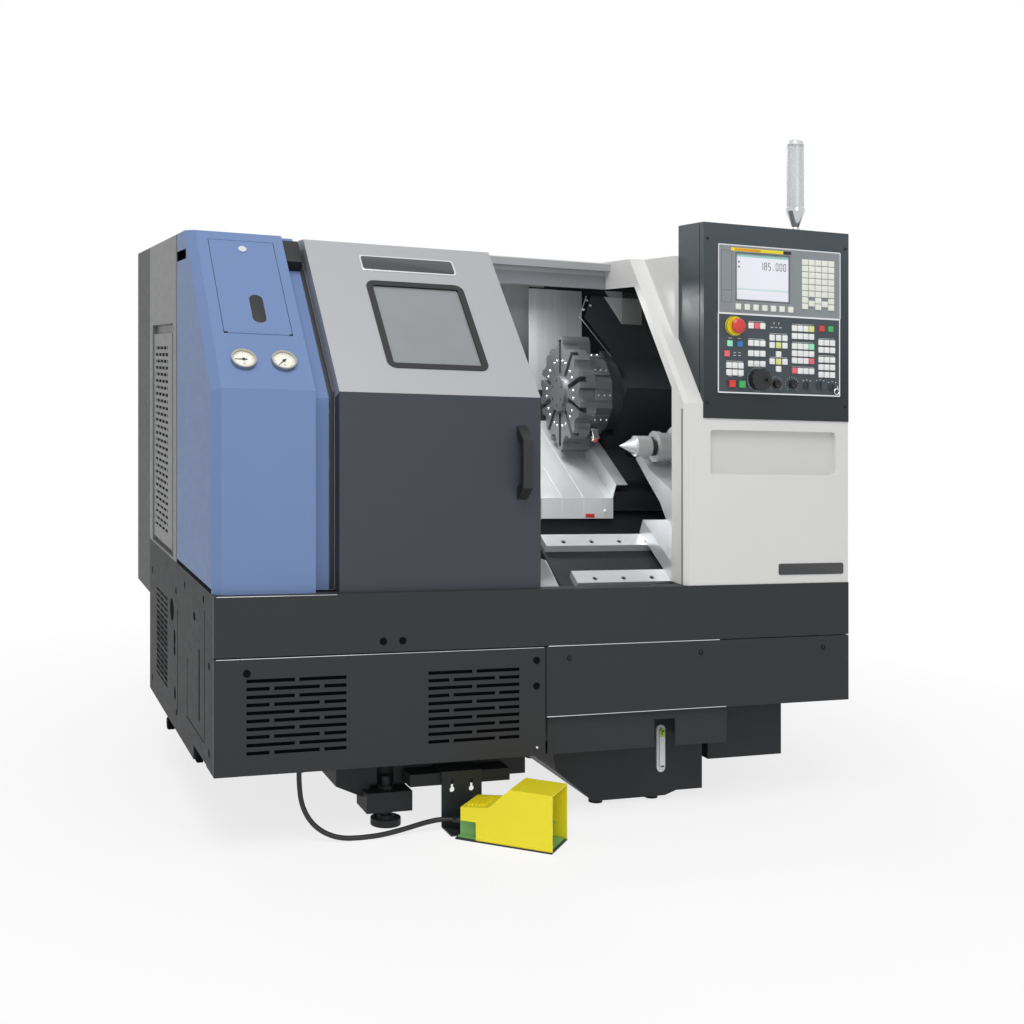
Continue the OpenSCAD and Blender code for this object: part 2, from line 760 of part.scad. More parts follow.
module access_hole() on_slope(access_x - access_gap, access_s - access_gap) translate([0, 0, -60])
    cube([access_w + 2 * access_gap, access_l + 2 * access_gap, 60 + eps]);

access_pin = barrel_r * 0.4;
access_ears = [[access_x + 8, access_x + 38], [access_x + access_w - 38, access_x + access_w - 8]];

module hydraulic_cover() color("#7389b3") {
    difference() {
        blue_body(0);
        blue_body(sheet);
        access_hole();
        on_slope(access_x - access_gap, access_s) rotate([0, 90, 0])
            cylinder(r = barrel_r + slide_gap, h = access_w + 2 * access_gap);
        for (x = gauge_x) on_slope(x, gauge_s, -20) cylinder(r = gauge_neck, h = 20 + eps);
        // Hand notch at the top of the left side
        block([-eps, blue_d - 160, roof_z - 78], [sheet + eps, blue_d + eps, roof_z - 50]);
    }
    // Ears and pin of the access door's hinge
    for (ear = access_ears) on_slope(ear[0], access_s) {
        rotate([0, 90, 0]) cylinder(r = barrel_r, h = ear[1] - ear[0]);
        block([0, -barrel_r - 3, -sheet], [ear[1] - ear[0], 0, 0]);
    }
    on_slope(access_ears[0][0] + 5, access_s) rotate([0, 90, 0])
        cylinder(r = access_pin, h = access_ears[1][1] - access_ears[0][0] - 10);
    // Set-back strip towards the door
    along_x(blue_w - eps, strip_x1) polygon(front_band(strip_back, strip_back + sheet, cover_top, roof_z));
    along_x(strip_x1 - sheet, strip_x1) polygon(front_band(strip_back, strip_back + 40, cover_top, roof_z));
}
gauge_neck = 7;

module access_door() color("#7c93c2") difference() {
    edge = barrel_r + slide_gap;
    union() {
        on_slope(access_x, access_s) block([0, edge, -sheet], [access_w, access_l, 0]);
        on_slope(access_ears[0][1] + slide_gap, access_s) {
            barrel_l = access_ears[1][0] - access_ears[0][1] - 2 * slide_gap;
            rotate([0, 90, 0]) cylinder(r = barrel_r, h = barrel_l);
            block([0, 0, -sheet], [barrel_l, edge + eps, 0]);
        }
        on_slope(lock_x, lock_s, -lock_l) cylinder(d = lock_d + 8, h = lock_l);
    }
    on_slope(access_ears[0][1], access_s) rotate([0, 90, 0])
        cylinder(r = access_pin + shaft_gap, h = access_ears[1][0] - access_ears[0][1]);
    on_slope(access_x + access_w * 0.56, access_s + access_l * 0.26, -1.5)
        linear_extrude(2) oval(oval_w, oval_l);
    on_slope(lock_x, lock_s, -lock_l - eps) cylinder(d = lock_d, h = lock_l + 2 * eps);
}
lock_x = access_x + access_w / 2;
lock_s = access_s + access_l - 34;
lock_l = 14;

module access_lock() color("#c2c5c8") on_slope(lock_x, lock_s) difference() {
    union() {
        translate([0, 0, -lock_l - 6]) cylinder(d = lock_d - 2 * shaft_gap, h = lock_l + 6);
        translate([0, 0, slide_gap]) cylinder(d = lock_d + 4, h = 3);
        cylinder(d = lock_d - 2 * shaft_gap, h = slide_gap + eps);
        // Cam behind the door
        block([-5, -5, -lock_l - 6], [5, 22, -lock_l - 3]);
    }
    translate([0, 0, 2]) cube([2.2, lock_d * 0.6, 6], center = true);
}

module pressure_gauges() color("#b9bcc0") for (x = gauge_x) on_slope(x, gauge_s) difference() {
    union() {
        cylinder(d = gauge_d, h = gauge_h);
        translate([0, 0, -30]) cylinder(r = gauge_neck - slide_gap, h = 30 + eps);
    }
    translate([0, 0, gauge_h - 6]) cylinder(d = gauge_d - 2 * gauge_rim, h = 6 + eps);
    translate([0, 0, gauge_h - 12]) cylinder(r = 1.5 + shaft_gap, h = 12);
}

// Needle of a gauge, turned from straight up
module needle(x, turn) color("#1c1d1e") on_slope(x, gauge_s, gauge_h - 6) rotate([0, 0, turn]) {
    translate([0, 0, -4]) cylinder(r = 1.5, h = 6);
    translate([0, 0, slide_gap]) cylinder(r = 4, h = 2);
    tip = gauge_d * 0.36;
    translate([0, 0, slide_gap]) linear_extrude(1.2)
        polygon([[-1.6, -9], [1.6, -9], [0.6, tip], [-0.6, tip]]);
}
module needle_left() needle(gauge_x[0], 90);
module needle_right() needle(gauge_x[1], 135);

module roof_cover() color("#d4d5d4") {
    block([strip_x1 + seam, header_y, header_z], [right_x - seam, back_y, header_z + sheet]);
    block([strip_x1 + seam, back_y - sheet, cover_top], [right_x - seam, back_y, header_z + sheet]);
}

// Frame behind the door: closed on the left, with a header over the opening
module door_frame() color("#dcdcda") {
    top = header_z - slide_gap;
    along_x(strip_x1 + seam, opening_x) polygon(front_band(frame_inset, frame_inset + sheet, sill_z, top));
    // Fold beside the opening, up to the header
    along_x(opening_x - sheet, opening_x) polygon([
        [front_y + frame_inset, sill_z], knee_at(frame_inset), lean_at(frame_inset, top),
        [header_y + header_back + sheet, top], [header_y + header_back + sheet, lintel_z],
        lean_at(frame_inset + reveal, lintel_z), knee_at(frame_inset + reveal),
        [front_y + frame_inset + reveal, sill_z]
    ]);
    // Header: flange, step, set-back plate and lip
    along_x(opening_x - sheet, right_x - slide_gap) translate([header_y, lintel_z]) polygon([
        [0, top - lintel_z], [0, header_h], [header_back, header_h], [header_back, 0],
        [header_back + reveal, 0], [header_back + reveal, sheet], [header_back + sheet, sheet],
        [header_back + sheet, header_h + sheet], [sheet, header_h + sheet], [sheet, top - lintel_z]
    ]);
}

// Right cover: leaning front with an upright part that carries the control box
function right_low(inset) = cover_top - (inset > 0 ? eps : 0);
function right_knee(inset) = knee_at(inset, right_y, right_deg);
function right_lean(inset, z) = lean_at(inset, z, right_y, right_deg);
function right_foot(inset) = [
    upright_y + inset, knee_z + (upright_y - right_y + inset - inset / sin(right_deg)) * tan(right_deg)
];
function right_back(inset) = [
    [back_y - inset, roof_z - inset], [back_y - inset, right_low(inset)],
    [right_y + inset, right_low(inset)], right_knee(inset)
];

// Solid inside the right cover's faces, its left edge bevelled
module right_body(inset) difference() {
    union() {
        along_x(right_x + inset, machine_w - inset)
            polygon(concat(right_back(inset), [right_lean(inset, roof_z - inset)]));
        along_x(upright_x + inset, machine_w - inset)
            polygon(concat(right_back(inset), [right_foot(inset), [upright_y + inset, roof_z - inset]]));
    }
    cut = right_bevel + inset * sqrt(2);
    corner = [[-1, -1], [cut + 1, -1], [-1, cut + 1]];
    translate([right_x, right_y, 0]) linear_extrude(knee_z + 60) polygon(corner);
    translate([right_x, right_y, knee_z]) rotate([right_deg - 90, 0, 0]) translate([0, 0, -knee_z])
        linear_extrude(2 * knee_z) polygon(corner);
}

module right_cover() color("#dcdcda") difference() {
    union() {
        difference() {
            right_body(0);
            right_body(sheet);
            // Way from the work area, behind the wall beside the opening
            along_x(right_x - eps, right_x + sheet + eps) polygon([
                [right_y + side_wall, cover_top - eps],
                [right_y + side_wall, knee_z + (side_wall - lean_wall / sin(right_deg)) * tan(right_deg)],
                right_lean(lean_wall, lintel_z), [header_y + header_back + reveal + 10, lintel_z],
                [header_y + header_back + reveal + 10, roof_z - sheet], [back_y - sheet, roof_z - sheet],
                [back_y - sheet, cover_top - eps]
            ]);
        }
        // Tray of the recess
        block([recess_x - sheet, right_y + eps, recess_z - sheet],
            [recess_x + recess_w + sheet, right_y + recess_t + sheet, recess_z + recess_h + sheet]);
    }
    on_front(recess_x, right_y + recess_t, recess_z)
        linear_extrude(recess_t + eps) round_rect(recess_w, recess_h, 10);
}

// Front door

// Outline of the door between two insets, below or above the knee
function door_low(d0, d1, low) = [[front_y + d0, low], knee_at(d0), knee_at(d1), [front_y + d1, low]];
function door_high(d0, d1, top) = [knee_at(d0), lean_at(d0, top), lean_at(d1, top), knee_at(d1)];

module door_lower() color("#464952") difference() {
    along_x(door_x, door_x1) polygon(door_low(0, door_t, door_z));
    along_x(door_x + sheet, door_x1 - sheet) polygon(door_low(sheet, door_t + eps, door_z + sheet));
}

module window_outline(grow) translate([door_x + window_dx - grow, window_s - grow])
    round_rect(window_w + 2 * grow, window_l + 2 * grow, window_r + grow);

module door_upper() color("#b9babc") difference() {
    along_x(door_x, door_x1) polygon(door_high(0, door_t, door_top));
    along_x(door_x + sheet, door_x1 - sheet) polygon(door_high(sheet, door_t + eps, door_top - sheet));
    on_slope(0, 0, -sheet - 2) linear_extrude(sheet + 4) window_outline(0);
}

module window_seal() color("#17181a") difference() {
    union() {
        on_slope(0, 0, -16) linear_extrude(18) window_outline(-slide_gap);
        on_slope(0, 0, 0) linear_extrude(2) window_outline(3);
    }
    on_slope(0, 0, -17) linear_extrude(20) window_outline(-seal_w);
    on_slope(0, 0, -pane_back - slide_gap)
        linear_extrude(pane_t + 2 * slide_gap) window_outline(-pane_in + slide_gap);
}

pane_back = 10;
pane_in = seal_w - 6;
module window_pane() color("#9fb4b8", 0.4)
    on_slope(0, 0, -pane_back) linear_extrude(pane_t) window_outline(-pane_in);

// Outline of the handle's outer or inner side
function handle_side(y, reach, in, lean) = [
    [y, handle_z + in], [front_y - reach, handle_z + lean],
    [front_y - reach, handle_z + handle_l - lean], [y, handle_z + handle_l - in]
];
module door_handle() color("#1f2123") {
    lean = handle_reach * 0.75;
    along_x(door_x + handle_dx, door_x + handle_dx + handle_w) difference() {
        polygon(handle_side(front_y, handle_reach, 0, lean));
        polygon(handle_side(front_y + 1, handle_reach - handle_t, handle_t * 1.6, lean + handle_t * 0.6));
    }
}

// Control

stop_at = [50, 186];
start_at = [72, 24];
hold_at = [40, 25];
wheel_at = [126, 39];
feed_at = [186, 28];
speed_at = [239, 29];
selectors = [[289, 26], [334, 28], [375, 24]];
stems = [stop_at, start_at, hold_at, wheel_at, feed_at, speed_at];

module at_panel(place, lift = 0)
    on_front(panel_x + place[0], -panel_t - lift, panel_z + place[1]) children();

module control_box() color("#3f464d") difference() {
    along_x(control_x, machine_w) polygon([
        [0, control_z0], [right_y - slide_gap, control_z0], right_knee(-slide_gap), right_foot(-slide_gap),
        [upright_y - slide_gap, control_z1], [0, control_z1]
    ]);
    // Groove between the front frame and the housing behind it
    block([control_x - eps, groove_y, control_z0],
        [control_x + groove, groove_y + groove, control_z1 + eps]);
    block([control_x, groove_y, control_z1 - groove],
        [machine_w + eps, groove_y + groove, control_z1 + eps]);
    for (place = stems) at_panel(place, -panel_t - stem_room) cylinder(r = stem_r + 4, h = stem_room + eps);
}
groove = 4;
stem_room = 22;

module display_unit() color("#7a7c7e") difference() {
    union() {
        block([panel_x, -display_t, display_z], [panel_x + panel_w, 0, display_z + display_h]);
        for (i = [0 : 6]) on_front(panel_x + 62 + i * 28.5, -display_t, display_z + 19) key_cap(16);
        // Data keys beside the screen, with the arrow cross below
        for (col = [0 : 4], row = [2 : 7])
            on_front(panel_x + 281 + col * 22, -display_t, display_z + 31 + row * 18) key_cap(15);
        for (place = [[0, 0], [0, 1], [4, 0], [4, 1], [2, 0], [2, 1], [1, 0.5], [3, 0.5]])
            on_front(panel_x + 281 + place[0] * 22, -display_t, display_z + 31 + place[1] * 18) key_cap(15);
    }
    block([panel_x + 58, -display_t - eps, display_z + 40],
        [panel_x + 228, -display_t + 3, display_z + 167]);
}

module key_cap(size) translate([-size / 2, -size / 2, -eps]) cube([size, size, key_h + eps]);

// Groups of keys: left and bottom centre, columns, rows and pitches
key_groups = [
    [104, 190, 3, 1, 19, 20], [103, 83, 3, 3, 19.5, 29], [173, 138, 3, 2, 21, 21], [173, 92, 3, 1, 21, 21],
    [194, 71, 1, 2, 21, 42], [247, 167, 4, 2, 19, 22], [247, 97, 4, 3, 19, 20.5], [247, 68, 4, 1, 19, 20],
    [336, 131, 3, 2, 19.5, 21], [336, 60, 3, 3, 19.5, 21.5], [33, 56, 3, 2, 19, 20],
    [36, 137, 2, 1, 32, 20], [339, 192, 2, 1, 30, 20]
];

module operator_panel() color("#2f3639") difference() {
    union() {
        block([panel_x, -panel_t, panel_z], [panel_x + panel_w, 0, panel_z + panel_h]);
        for (g = key_groups) for (col = [0 : g[2] - 1], row = [0 : g[3] - 1])
            at_panel([g[0] + col * g[4], g[1] + row * g[5]]) key_cap(key);
        at_panel(stop_at) translate([0, 0, -eps]) cylinder(d = collar_d, h = 8 + eps);
        at_panel(wheel_at) translate([0, 0, -eps]) cylinder(d = wheel_d + 10, h = 2 + eps);
        for (place = [feed_at, speed_at])
            at_panel(place) translate([0, 0, -eps]) cylinder(d = knob_d + 14, h = 1.5 + eps);
        for (place = selectors) at_panel(place) {
            translate([0, 0, -eps]) cylinder(d = knob_d, h = 4 + eps);
            translate([-3, -knob_d * 0.4, 0]) cube([6, knob_d * 0.8, 14]);
        }
    }
    at_panel(stop_at, -panel_t - eps) cylinder(r = stem_r + shaft_gap, h = panel_t + 12);
    for (place = [start_at, hold_at, wheel_at, feed_at, speed_at])
        at_panel(place, -panel_t - eps) cylinder(r = button_bore + shaft_gap, h = panel_t + 12);
}

module stop_button() color("#c4202a") at_panel(stop_at) {
    translate([0, 0, -panel_t - 6]) cylinder(r = stem_r, h = panel_t + 22);
    translate([0, 0, 8 + stop_travel + slide_gap]) rotate_extrude() polygon([
        [0, 0], [stem_r + 4, 0], [stem_r + 6, 8], [stop_d / 2, 10],
        [stop_d / 2, 15], [stop_d / 2 - 5, 20], [0, 22]
    ]);
}

module push_button(place, tint) color(tint) at_panel(place) {
    translate([0, 0, -panel_t - 6]) cylinder(r = button_bore, h = panel_t + 8 + button_travel);
    translate([-9.5, -9.5, button_travel + slide_gap]) cube([19, 19, 6]);
}
module start_button() push_button(start_at, "#3fa34d");
module hold_button() push_button(hold_at, "#b3222c");

module handwheel() color("#141516") at_panel(wheel_at) {
    translate([0, 0, -panel_t - 6]) cylinder(r = button_bore, h = panel_t + 12);
    translate([0, 0, 2 + slide_gap]) difference() {
        cylinder(d = wheel_d, h = 22);
        for (i = [0 : 11]) rotate(i * 30) translate([wheel_d / 2 + 2, 0, -eps]) cylinder(r = 4, h = 24);
    }
    translate([wheel_d * 0.28, 0, 22]) cylinder(r = 5, h = 14);
}

module override_knob(place) color("#17181a") at_panel(place) {
    translate([0, 0, -panel_t - 6]) cylinder(r = button_bore, h = panel_t + 10);
    translate([0, 0, 1.5 + slide_gap]) cylinder(d1 = knob_d, d2 = knob_d - 3, h = 15);
    translate([-2, 0, 1.5 + slide_gap]) cube([4, knob_d / 2 - 1, 17]);
}
module feed_knob() override_knob(feed_at);
module spindle_knob() override_knob(speed_at);

module signal_lamp() color("#dfe3e4") translate([machine_w - lamp_dx, lamp_y, control_z1]) {
    r = lamp_d / 2;
    rotate_extrude() polygon([
        [0, 0], [12, 0], [12, 8], [10, 12], [r + 2, 58], [r + 2, 68], [r, 70],
        [r, lamp_h - 14], [r - 4, lamp_h - 3], [r - 9, lamp_h], [0, lamp_h]
    ]);
}

// Work area

module headstock() color("#50565a") difference() {
    slant() translate([bed_x0 + 60, 0, 0]) rotate([90, 0, 90])
        linear_extrude(wall_x - 6 - bed_x0 - 60) polygon([
            [-162, bed_n], [300, bed_n], [300, 50], [230, 120], [90, 150], [-100, 150], [-162, 90]
        ]);
    rod_x(bed_x0, wall_x, spindle_r + shaft_gap);
}

wall_top = header_z - sheet;
module bulkhead() color("#c4c7c9") difference() {
    foot = trough_z + sheet + 1;
    over = -cover_drop + 4;
    along_x(wall_x, wall_x + sheet) polygon([
        [front_y + frame_inset + sheet + 1, foot], [on_slant(-20, bed_n)[0] - 27, foot],
        on_slant(-10, over) - [4, 0], on_slant(440, over), [liner_y, on_slant(440, over)[1]],
        [liner_y, wall_top], lean_at(frame_inset + sheet + 1, wall_top), knee_at(frame_inset + sheet + 1)
    ]);
    rod_x(wall_x - 5, wall_x + 10, chuck_d / 2 + 2);
}

module rear_liner() color("#b4b8bb") {
    ledge = on_slant(440, -cover_drop) + [1, 0];
    end = machine_w - 60;
    block([wall_x + sheet, liner_y, ledge[1]], [end, liner_y + sheet, wall_top]);
    block([wall_x + sheet, ledge[0], ledge[1]], [end, liner_y + eps, ledge[1] + sheet]);
}

// Lower and upper ends of the slanted plates; the fixed one's lip hangs behind the moving one's
plate_t0 = -7;
plate_t1 = 438;
under_t = plate_t0 + (sheet + slide_gap) * (1 / cos(slant_deg) - tan(slant_deg)) + slide_gap;

// Slanted plate with a lip hanging from its lower edge
module lipped_plate(x0, x1, t0, n) {
    low = on_slant(t0, n);
    slant() block([x0, t0, n - sheet], [x1, plate_t1, n]);
    along_x(x0, x1) polygon([low, low - [0, lip_h], low + [sheet, -lip_h], low + [sheet, 0]]);
}

module way_cover() color("#bfc3c6")
    lipped_plate(wall_x + sheet, saddle_x - saddle_travel + sheet, under_t,
        -cover_drop - sheet - 2 * slide_gap);

module saddle_cover() color("#cfd2d4") {
    lipped_plate(saddle_x - saddle_travel, saddle_x + sheet, plate_t0, -cover_drop);
    // Upstand and flange along the saddle
    slant() block([saddle_x, plate_t0, -cover_drop - sheet],
        [saddle_x + sheet, plate_t1, saddle_n + sheet]);
    slant() block([saddle_x, plate_t0, saddle_n], [saddle_x + 40, plate_t1, saddle_n + sheet]);
}

module spindle() color("#a9adb0") {
    rod_x(bed_x0 + 20, chuck_x, spindle_r);
    rod_x(wall_x + sheet + 4, chuck_x, chuck_d / 2 - 8);
    // Belt pulley at the tail
    difference() {
        rod_x(bed_x0 + 10, bed_x0 + 55, 90);
        for (x = [bed_x0 + 17 : 9 : bed_x0 + 44]) difference() {
            rod_x(x, x + 5, 95);
            rod_x(x - eps, x + 5 + eps, 83);
        }
    }
}

module chuck() color("#8f9498") difference() {
    rod_x(chuck_x, jaw_x, chuck_d / 2);
    rod_x(jaw_x - 4, jaw_x + eps, 22);
    for (i = [0 : 2]) translate([jaw_x, spindle_y, spindle_z]) rotate([i * 120, 0, 0])
        block([-14 - slide_gap, -11 - slide_gap, 15], [eps, 11 + slide_gap, chuck_d]);
}

module jaw(i) color("#6f7478") translate([jaw_x, spindle_y, spindle_z]) rotate([i * 120, 0, 0]) {
    block([-14, -11, 30], [eps, 11, chuck_d / 2 - 6]);
    block([slide_gap, -14, 30], [18, 14, chuck_d / 2 - 6]);
    block([18 - eps, -14, 46], [34, 14, chuck_d / 2 - 6]);
}
module jaw_1() jaw(0);
module jaw_2() jaw(1);
module jaw_3() jaw(2);

module saddle() color("#33373a") slant() difference() {
    block([saddle_x + sheet + slide_gap, -2, track_n + slide_gap], [saddle_x + saddle_w, 438, saddle_n]);
    // Relief along the guide of the turret slide
    for (x = [saddle_x + 110, saddle_x + 210]) block([x, -3, saddle_n - 18], [x + 34, 180, saddle_n + eps]);
    block([saddle_x, -3, saddle_n - 30], [saddle_x + saddle_w + eps, 20, saddle_n + eps]);
}

module turret_housing() color("#25282b") difference() {
    slide_x = saddle_x + 44;
    end = saddle_x + saddle_w - 20;
    plate_z = spindle_z + 472;
    union() {
        slant() block([slide_x, 195, saddle_n + slide_gap], [end, 436, saddle_n + 52]);
        slant() block([housing_x, turret_t - 112, saddle_n + 50], [end, turret_t + 120, 96]);
        rod_x(disc_x + disc_l + 70, housing_x + eps, drum_r - 14, turret_t);
        // Splash plate over the slide
        translate([0, housing_y + sheet, plate_z]) rotate([90, 0, 0]) linear_extrude(sheet) polygon([
            [housing_x - 42, 0], [housing_x - 66, -70], [housing_x + 70, -222], [end, -272], [end, 0]
        ]);
    }
    rod_x(disc_x, housing_x + 120, hub_r + shaft_gap, turret_t);
}
hub_r = 40;
housing_y = on_slant(turret_t + 100, 96)[0] - 10;

module turret_disc() color("#cdd0d2") {
    station = 360 / stations;
    difference() {
        union() {
            at_turret(disc_x) linear_extrude(disc_l) difference() {
                circle(rim_r);
                // Bites between the stations
                for (i = [1 : stations]) rotate((i + 0.5) * station) translate([rim_r + 8, 0]) circle(24);
            }
            at_turret(disc_x - 12) cylinder(r = 56, h = 13);
        }
        // Radial tool slots in the face
        for (i = [1 : stations]) at_turret(disc_x) rotate(i * station)
            block([64, -tool_slot / 2, -eps], [rim_r + 10, tool_slot / 2, 24]);
        for (turn = [0 : 60 : 300]) at_turret(disc_x - 12) rotate(turn)
            translate([40, 0, -eps]) cylinder(r = 5, h = 6);
    }
    // Drum behind the disc, with flats
    at_turret(disc_x + disc_l - eps) cylinder(r = drum_r, h = 70, $fn = stations);
    rod_x(disc_x + disc_l + 60, housing_x + 110, hub_r, turret_t);
}
module at_turret(x) translate([x, on_slant(turret_t, 0)[0], on_slant(turret_t, 0)[1]])
    rotate([0, 90, 0]) children();

// Holder lobes with a bored end, at the top and the bottom, and a turning tool beside the lower one
module tool_holders() color("#c4c7c9") {
    for (turn = [0, 180]) at_turret(disc_x + disc_l) rotate(turn) difference() {
        union() {
            block([rim_r - 30, -24, 0], [disc_r - 22, 24, 40]);
            translate([disc_r - 22, 0, -disc_l]) cylinder(r = 21, h = disc_l + 40);
        }
        translate([disc_r - 22, 0, -disc_l - 1]) cylinder(r = 10, h = disc_l + 42);
        translate([0, 0, -disc_l - 1]) cylinder(r = rim_r + 0.2, h = disc_l + 1);
        translate([0, 0, -1]) cylinder(r = drum_r + 0.2, h = 60);
    }
}

module tailstock() color("#bfc3c6") difference() {
    base_n = -rail_drop + slide_gap;
    union() {
        // Foot across both rails
        slant() block([tail_x, rail_t[0] - 6, base_n],
            [tail_x + tail_w, rail_t[1] + rail_w + 8, base_n + 46]);
        // Arm that leans back to the quill
        slant() translate([tail_x + 80, 0, 0]) rotate([90, 0, 90]) linear_extrude(tail_w - 80) polygon([
            [rail_t[0] + 60, base_n + 40], [rail_t[1] + rail_w, base_n + 40], [-150, -104],
            [-40, -92], [50, -80], [50, -quill_d / 2 - 13], [-50, -quill_d / 2 - 13],
            [-190, -30], [-330, -66]
        ]);
        rod_x(head_x, head_x1, quill_d / 2 + 20);
    }
    rod_x(tail_x, head_x1 + eps, quill_d / 2 + shaft_gap);
}

module quill() color("#7d8286") difference() {
    union() {
        rod_x(quill_x + 15, head_x1 - 10, quill_d / 2);
        rod_x(quill_x, quill_x + 16, quill_d / 2 + 5);
    }
    rod_x(quill_x - eps, quill_x + 45, 12 + shaft_gap);
}

module live_centre() color("#c9cccf") translate([centre_x, spindle_y, spindle_z]) rotate([0, 90, 0]) {
    r = centre_d / 2;
    rotate_extrude() polygon([
        [0, 0], [r * 0.78, 49], [r, 53], [r, 102], [r - 6, 104], [r - 6, 120 - slide_gap],
        [12, 120 - slide_gap], [12, 160], [0, 160]
    ]);
}

// Foot switch

module pedal_frame() translate([pedal_x, pedal_y, 0]) rotate([0, 0, pedal_turn]) children();

module pedal_bracket() color("#232527") {
    x0 = pedal_x - 4;
    x1 = x0 + bracket_w;
    difference() {
        union() {
            block([x0, bracket_y, 0], [x1, bracket_y + bracket_t, bracket_h]);
            block([x0, bracket_y, bracket_h - bracket_t], [x1, bed_y0 - slide_gap, bracket_h]);
        }
        for (x = [29, 83]) on_front(x0 + x, bracket_y + 6, bracket_h - 48) linear_extrude(8) {
            circle(7);
            translate([-3.5, 0]) square([7, 26]);
        }
    }
    block([x0, pedal_y + 20, 0], [x1, bracket_y + eps, bracket_t]);
    pedal_frame() block([0, 0, 0], [pedal_l, pedal_w, bracket_t]);
}
bracket_t = 4;

pivot_u = 78;
pivot_z = 40;
module pedal_base() color("#7db56a") pedal_frame() {
    block([4, 8, bracket_t], [pedal_l - 6, pedal_w - 8, 8]);
    block([6, 20, bracket_t], [pivot_u - 12, pedal_w - 20, 49]);
    // Ears and pin of the pedal
    for (v = [10, pedal_w - 20]) block([pivot_u - 14, v, bracket_t], [pivot_u + 12, v + 10, 49]);
    translate([pivot_u, 10, pivot_z]) rotate([-90, 0, 0]) cylinder(r = pivot_r, h = pedal_w - 20);
}
pivot_r = 4;

// A (u, z) outline drawn out across the switch, leaving a margin at both sides
module across_pedal(margin) translate([0, pedal_w - margin, 0]) rotate([90, 0, 0])
    linear_extrude(pedal_w - 2 * margin) children();

module pedal_lever() color("#5f9a55") pedal_frame() difference() {
    across_pedal(20 + slide_gap) {
        translate([pivot_u, pivot_z]) circle(9);
        translate([pivot_u, pivot_z]) polygon([
            [0, -6], [pedal_l - pivot_u - 34, 2], [pedal_l - pivot_u - 24, 8],
            [pedal_l - pivot_u - 34, 14], [0, 9]
        ]);
    }
    translate([pivot_u, 0, pivot_z]) rotate([-90, 0, 0]) cylinder(r = pivot_r + shaft_gap, h = pedal_w);
}

module pedal_guard() color("#efe01f") pedal_frame() {
    wall = 3;
    cap_u = 14;
    cap_z = 84;
    rise_z = 92;
    difference() {
        across_pedal(2) polygon([
            [cap_u, 50], [cap_u, cap_z], [90, rise_z], [148, guard_h], [pedal_l, guard_h],
            [pedal_l, bracket_t], [56, bracket_t], [56, 50]
        ]);
        across_pedal(2 + wall) polygon([
            [cap_u + wall, -1], [cap_u + wall, cap_z - wall], [89, rise_z - wall],
            [149, guard_h - wall], [pedal_l + 1, guard_h - wall], [pedal_l + 1, -1]
        ]);
    }
    // Ridges on the low cap
    for (u = [26 : 10 : 66]) translate([u, 24, cap_z + (u - cap_u) * 0.1]) cube([4, pedal_w - 48, 4]);
}

// Cord of the foot switch, from the gland under the left cover to the gland on the switch
gland_d = 22;
gland_tip = [628, 36, 28];
cord_route = [
    [226, 70, 172], [226, 69, 150], [227, 66, 126], [230, 62, 100], [238, 56, 74], [252, 48, 50],
    [272, 40, 31], [298, 33, 17], [328, 28, 9], [360, 25, 7], [395, 25, 7], [430, 28, 8], [465, 33, 11],
    [500, 39, 15], [535, 45, 20], [566, 49, 24], [592, 48, 27], [612, 43, 28], gland_tip
];
cord_sides = 10;
function unit(v) = v / norm(v);
function route_dir(p, i) = unit(p[min(i + 1, len(p) - 1)] - p[max(i - 1, 0)]);
function end_dir(p, i) = i == 0 ? [0, 0, -1] : [cos(pedal_turn), sin(pedal_turn), 0];
function ring(p, i) = let (
    d = i == 0 || i == len(p) - 1 ? end_dir(p, i) : route_dir(p, i),
    side = unit(cross(d, [0.3, 1, 0.1])), up = cross(d, side), step = 360 / cord_sides
) [for (k = [0 : cord_sides - 1]) p[i] + cord_d / 2 * (cos(k * step) * side + sin(k * step) * up)];

// Corner k of ring i, and the four-cornered face from ring i to the next one
function rim(i, k) = i * cord_sides + k % cord_sides;
function side_face(i, k) = [rim(i, k), rim(i + 1, k), rim(i + 1, k + 1), rim(i, k + 1)];

module pedal_cord() color("#1b1c1d") {
    last = len(cord_route) - 1;
    polyhedron([for (i = [0 : last]) each ring(cord_route, i)], concat(
        [[for (k = [0 : cord_sides - 1]) k]],
        [for (i = [0 : last - 1], k = [0 : cord_sides - 1]) side_face(i, k)],
        [[for (k = [cord_sides - 1 : -1 : 0]) rim(last, k)]]
    ));
}

module cord_glands() color("#2a2c2e") {
    translate(cord_route[0]) {
        cylinder(d = gland_d - 2, h = left_cover_z + 24 - cord_route[0][2]);
        cylinder(d = gland_d + 8, h = left_cover_z - cord_route[0][2], $fn = 6);
    }
    translate(gland_tip) rotate([0, 90, pedal_turn]) {
        cylinder(d1 = cord_d + 3, d2 = gland_d, h = 14);
        translate([0, 0, 13]) cylinder(d = gland_d, h = 23);
    }
}

place() bed_casting();
place() guideways();
place() levelling_feet();
place() chip_pan();
place() chip_chute();
place() lower_left_cover();
place() lower_right_cover();
place() left_skirt();
place() coolant_tank();
place() level_gauge();
place() headstock_cover();
place() electrical_cabinet();
place() cabinet_door();
place() hydraulic_cover();
place() access_door();
place() access_lock();
place() pressure_gauges();
place() needle_left();
place() needle_right();
place() roof_cover();
place() door_frame();
place() right_cover();
place() door_lower();
place() door_upper();
place() window_seal();
place() window_pane();
place() door_handle();
place() control_box();
place() display_unit();
place() operator_panel();
place() stop_button();
place() start_button();
place() hold_button();
place() handwheel();
place() feed_knob();
place() spindle_knob();
place() signal_lamp();
place() headstock();
place() bulkhead();
place() rear_liner();
place() way_cover();
place() spindle();
place() chuck();
place() jaw_1();
place() jaw_2();
place() jaw_3();
place() saddle();
place() saddle_cover();
place() turret_housing();
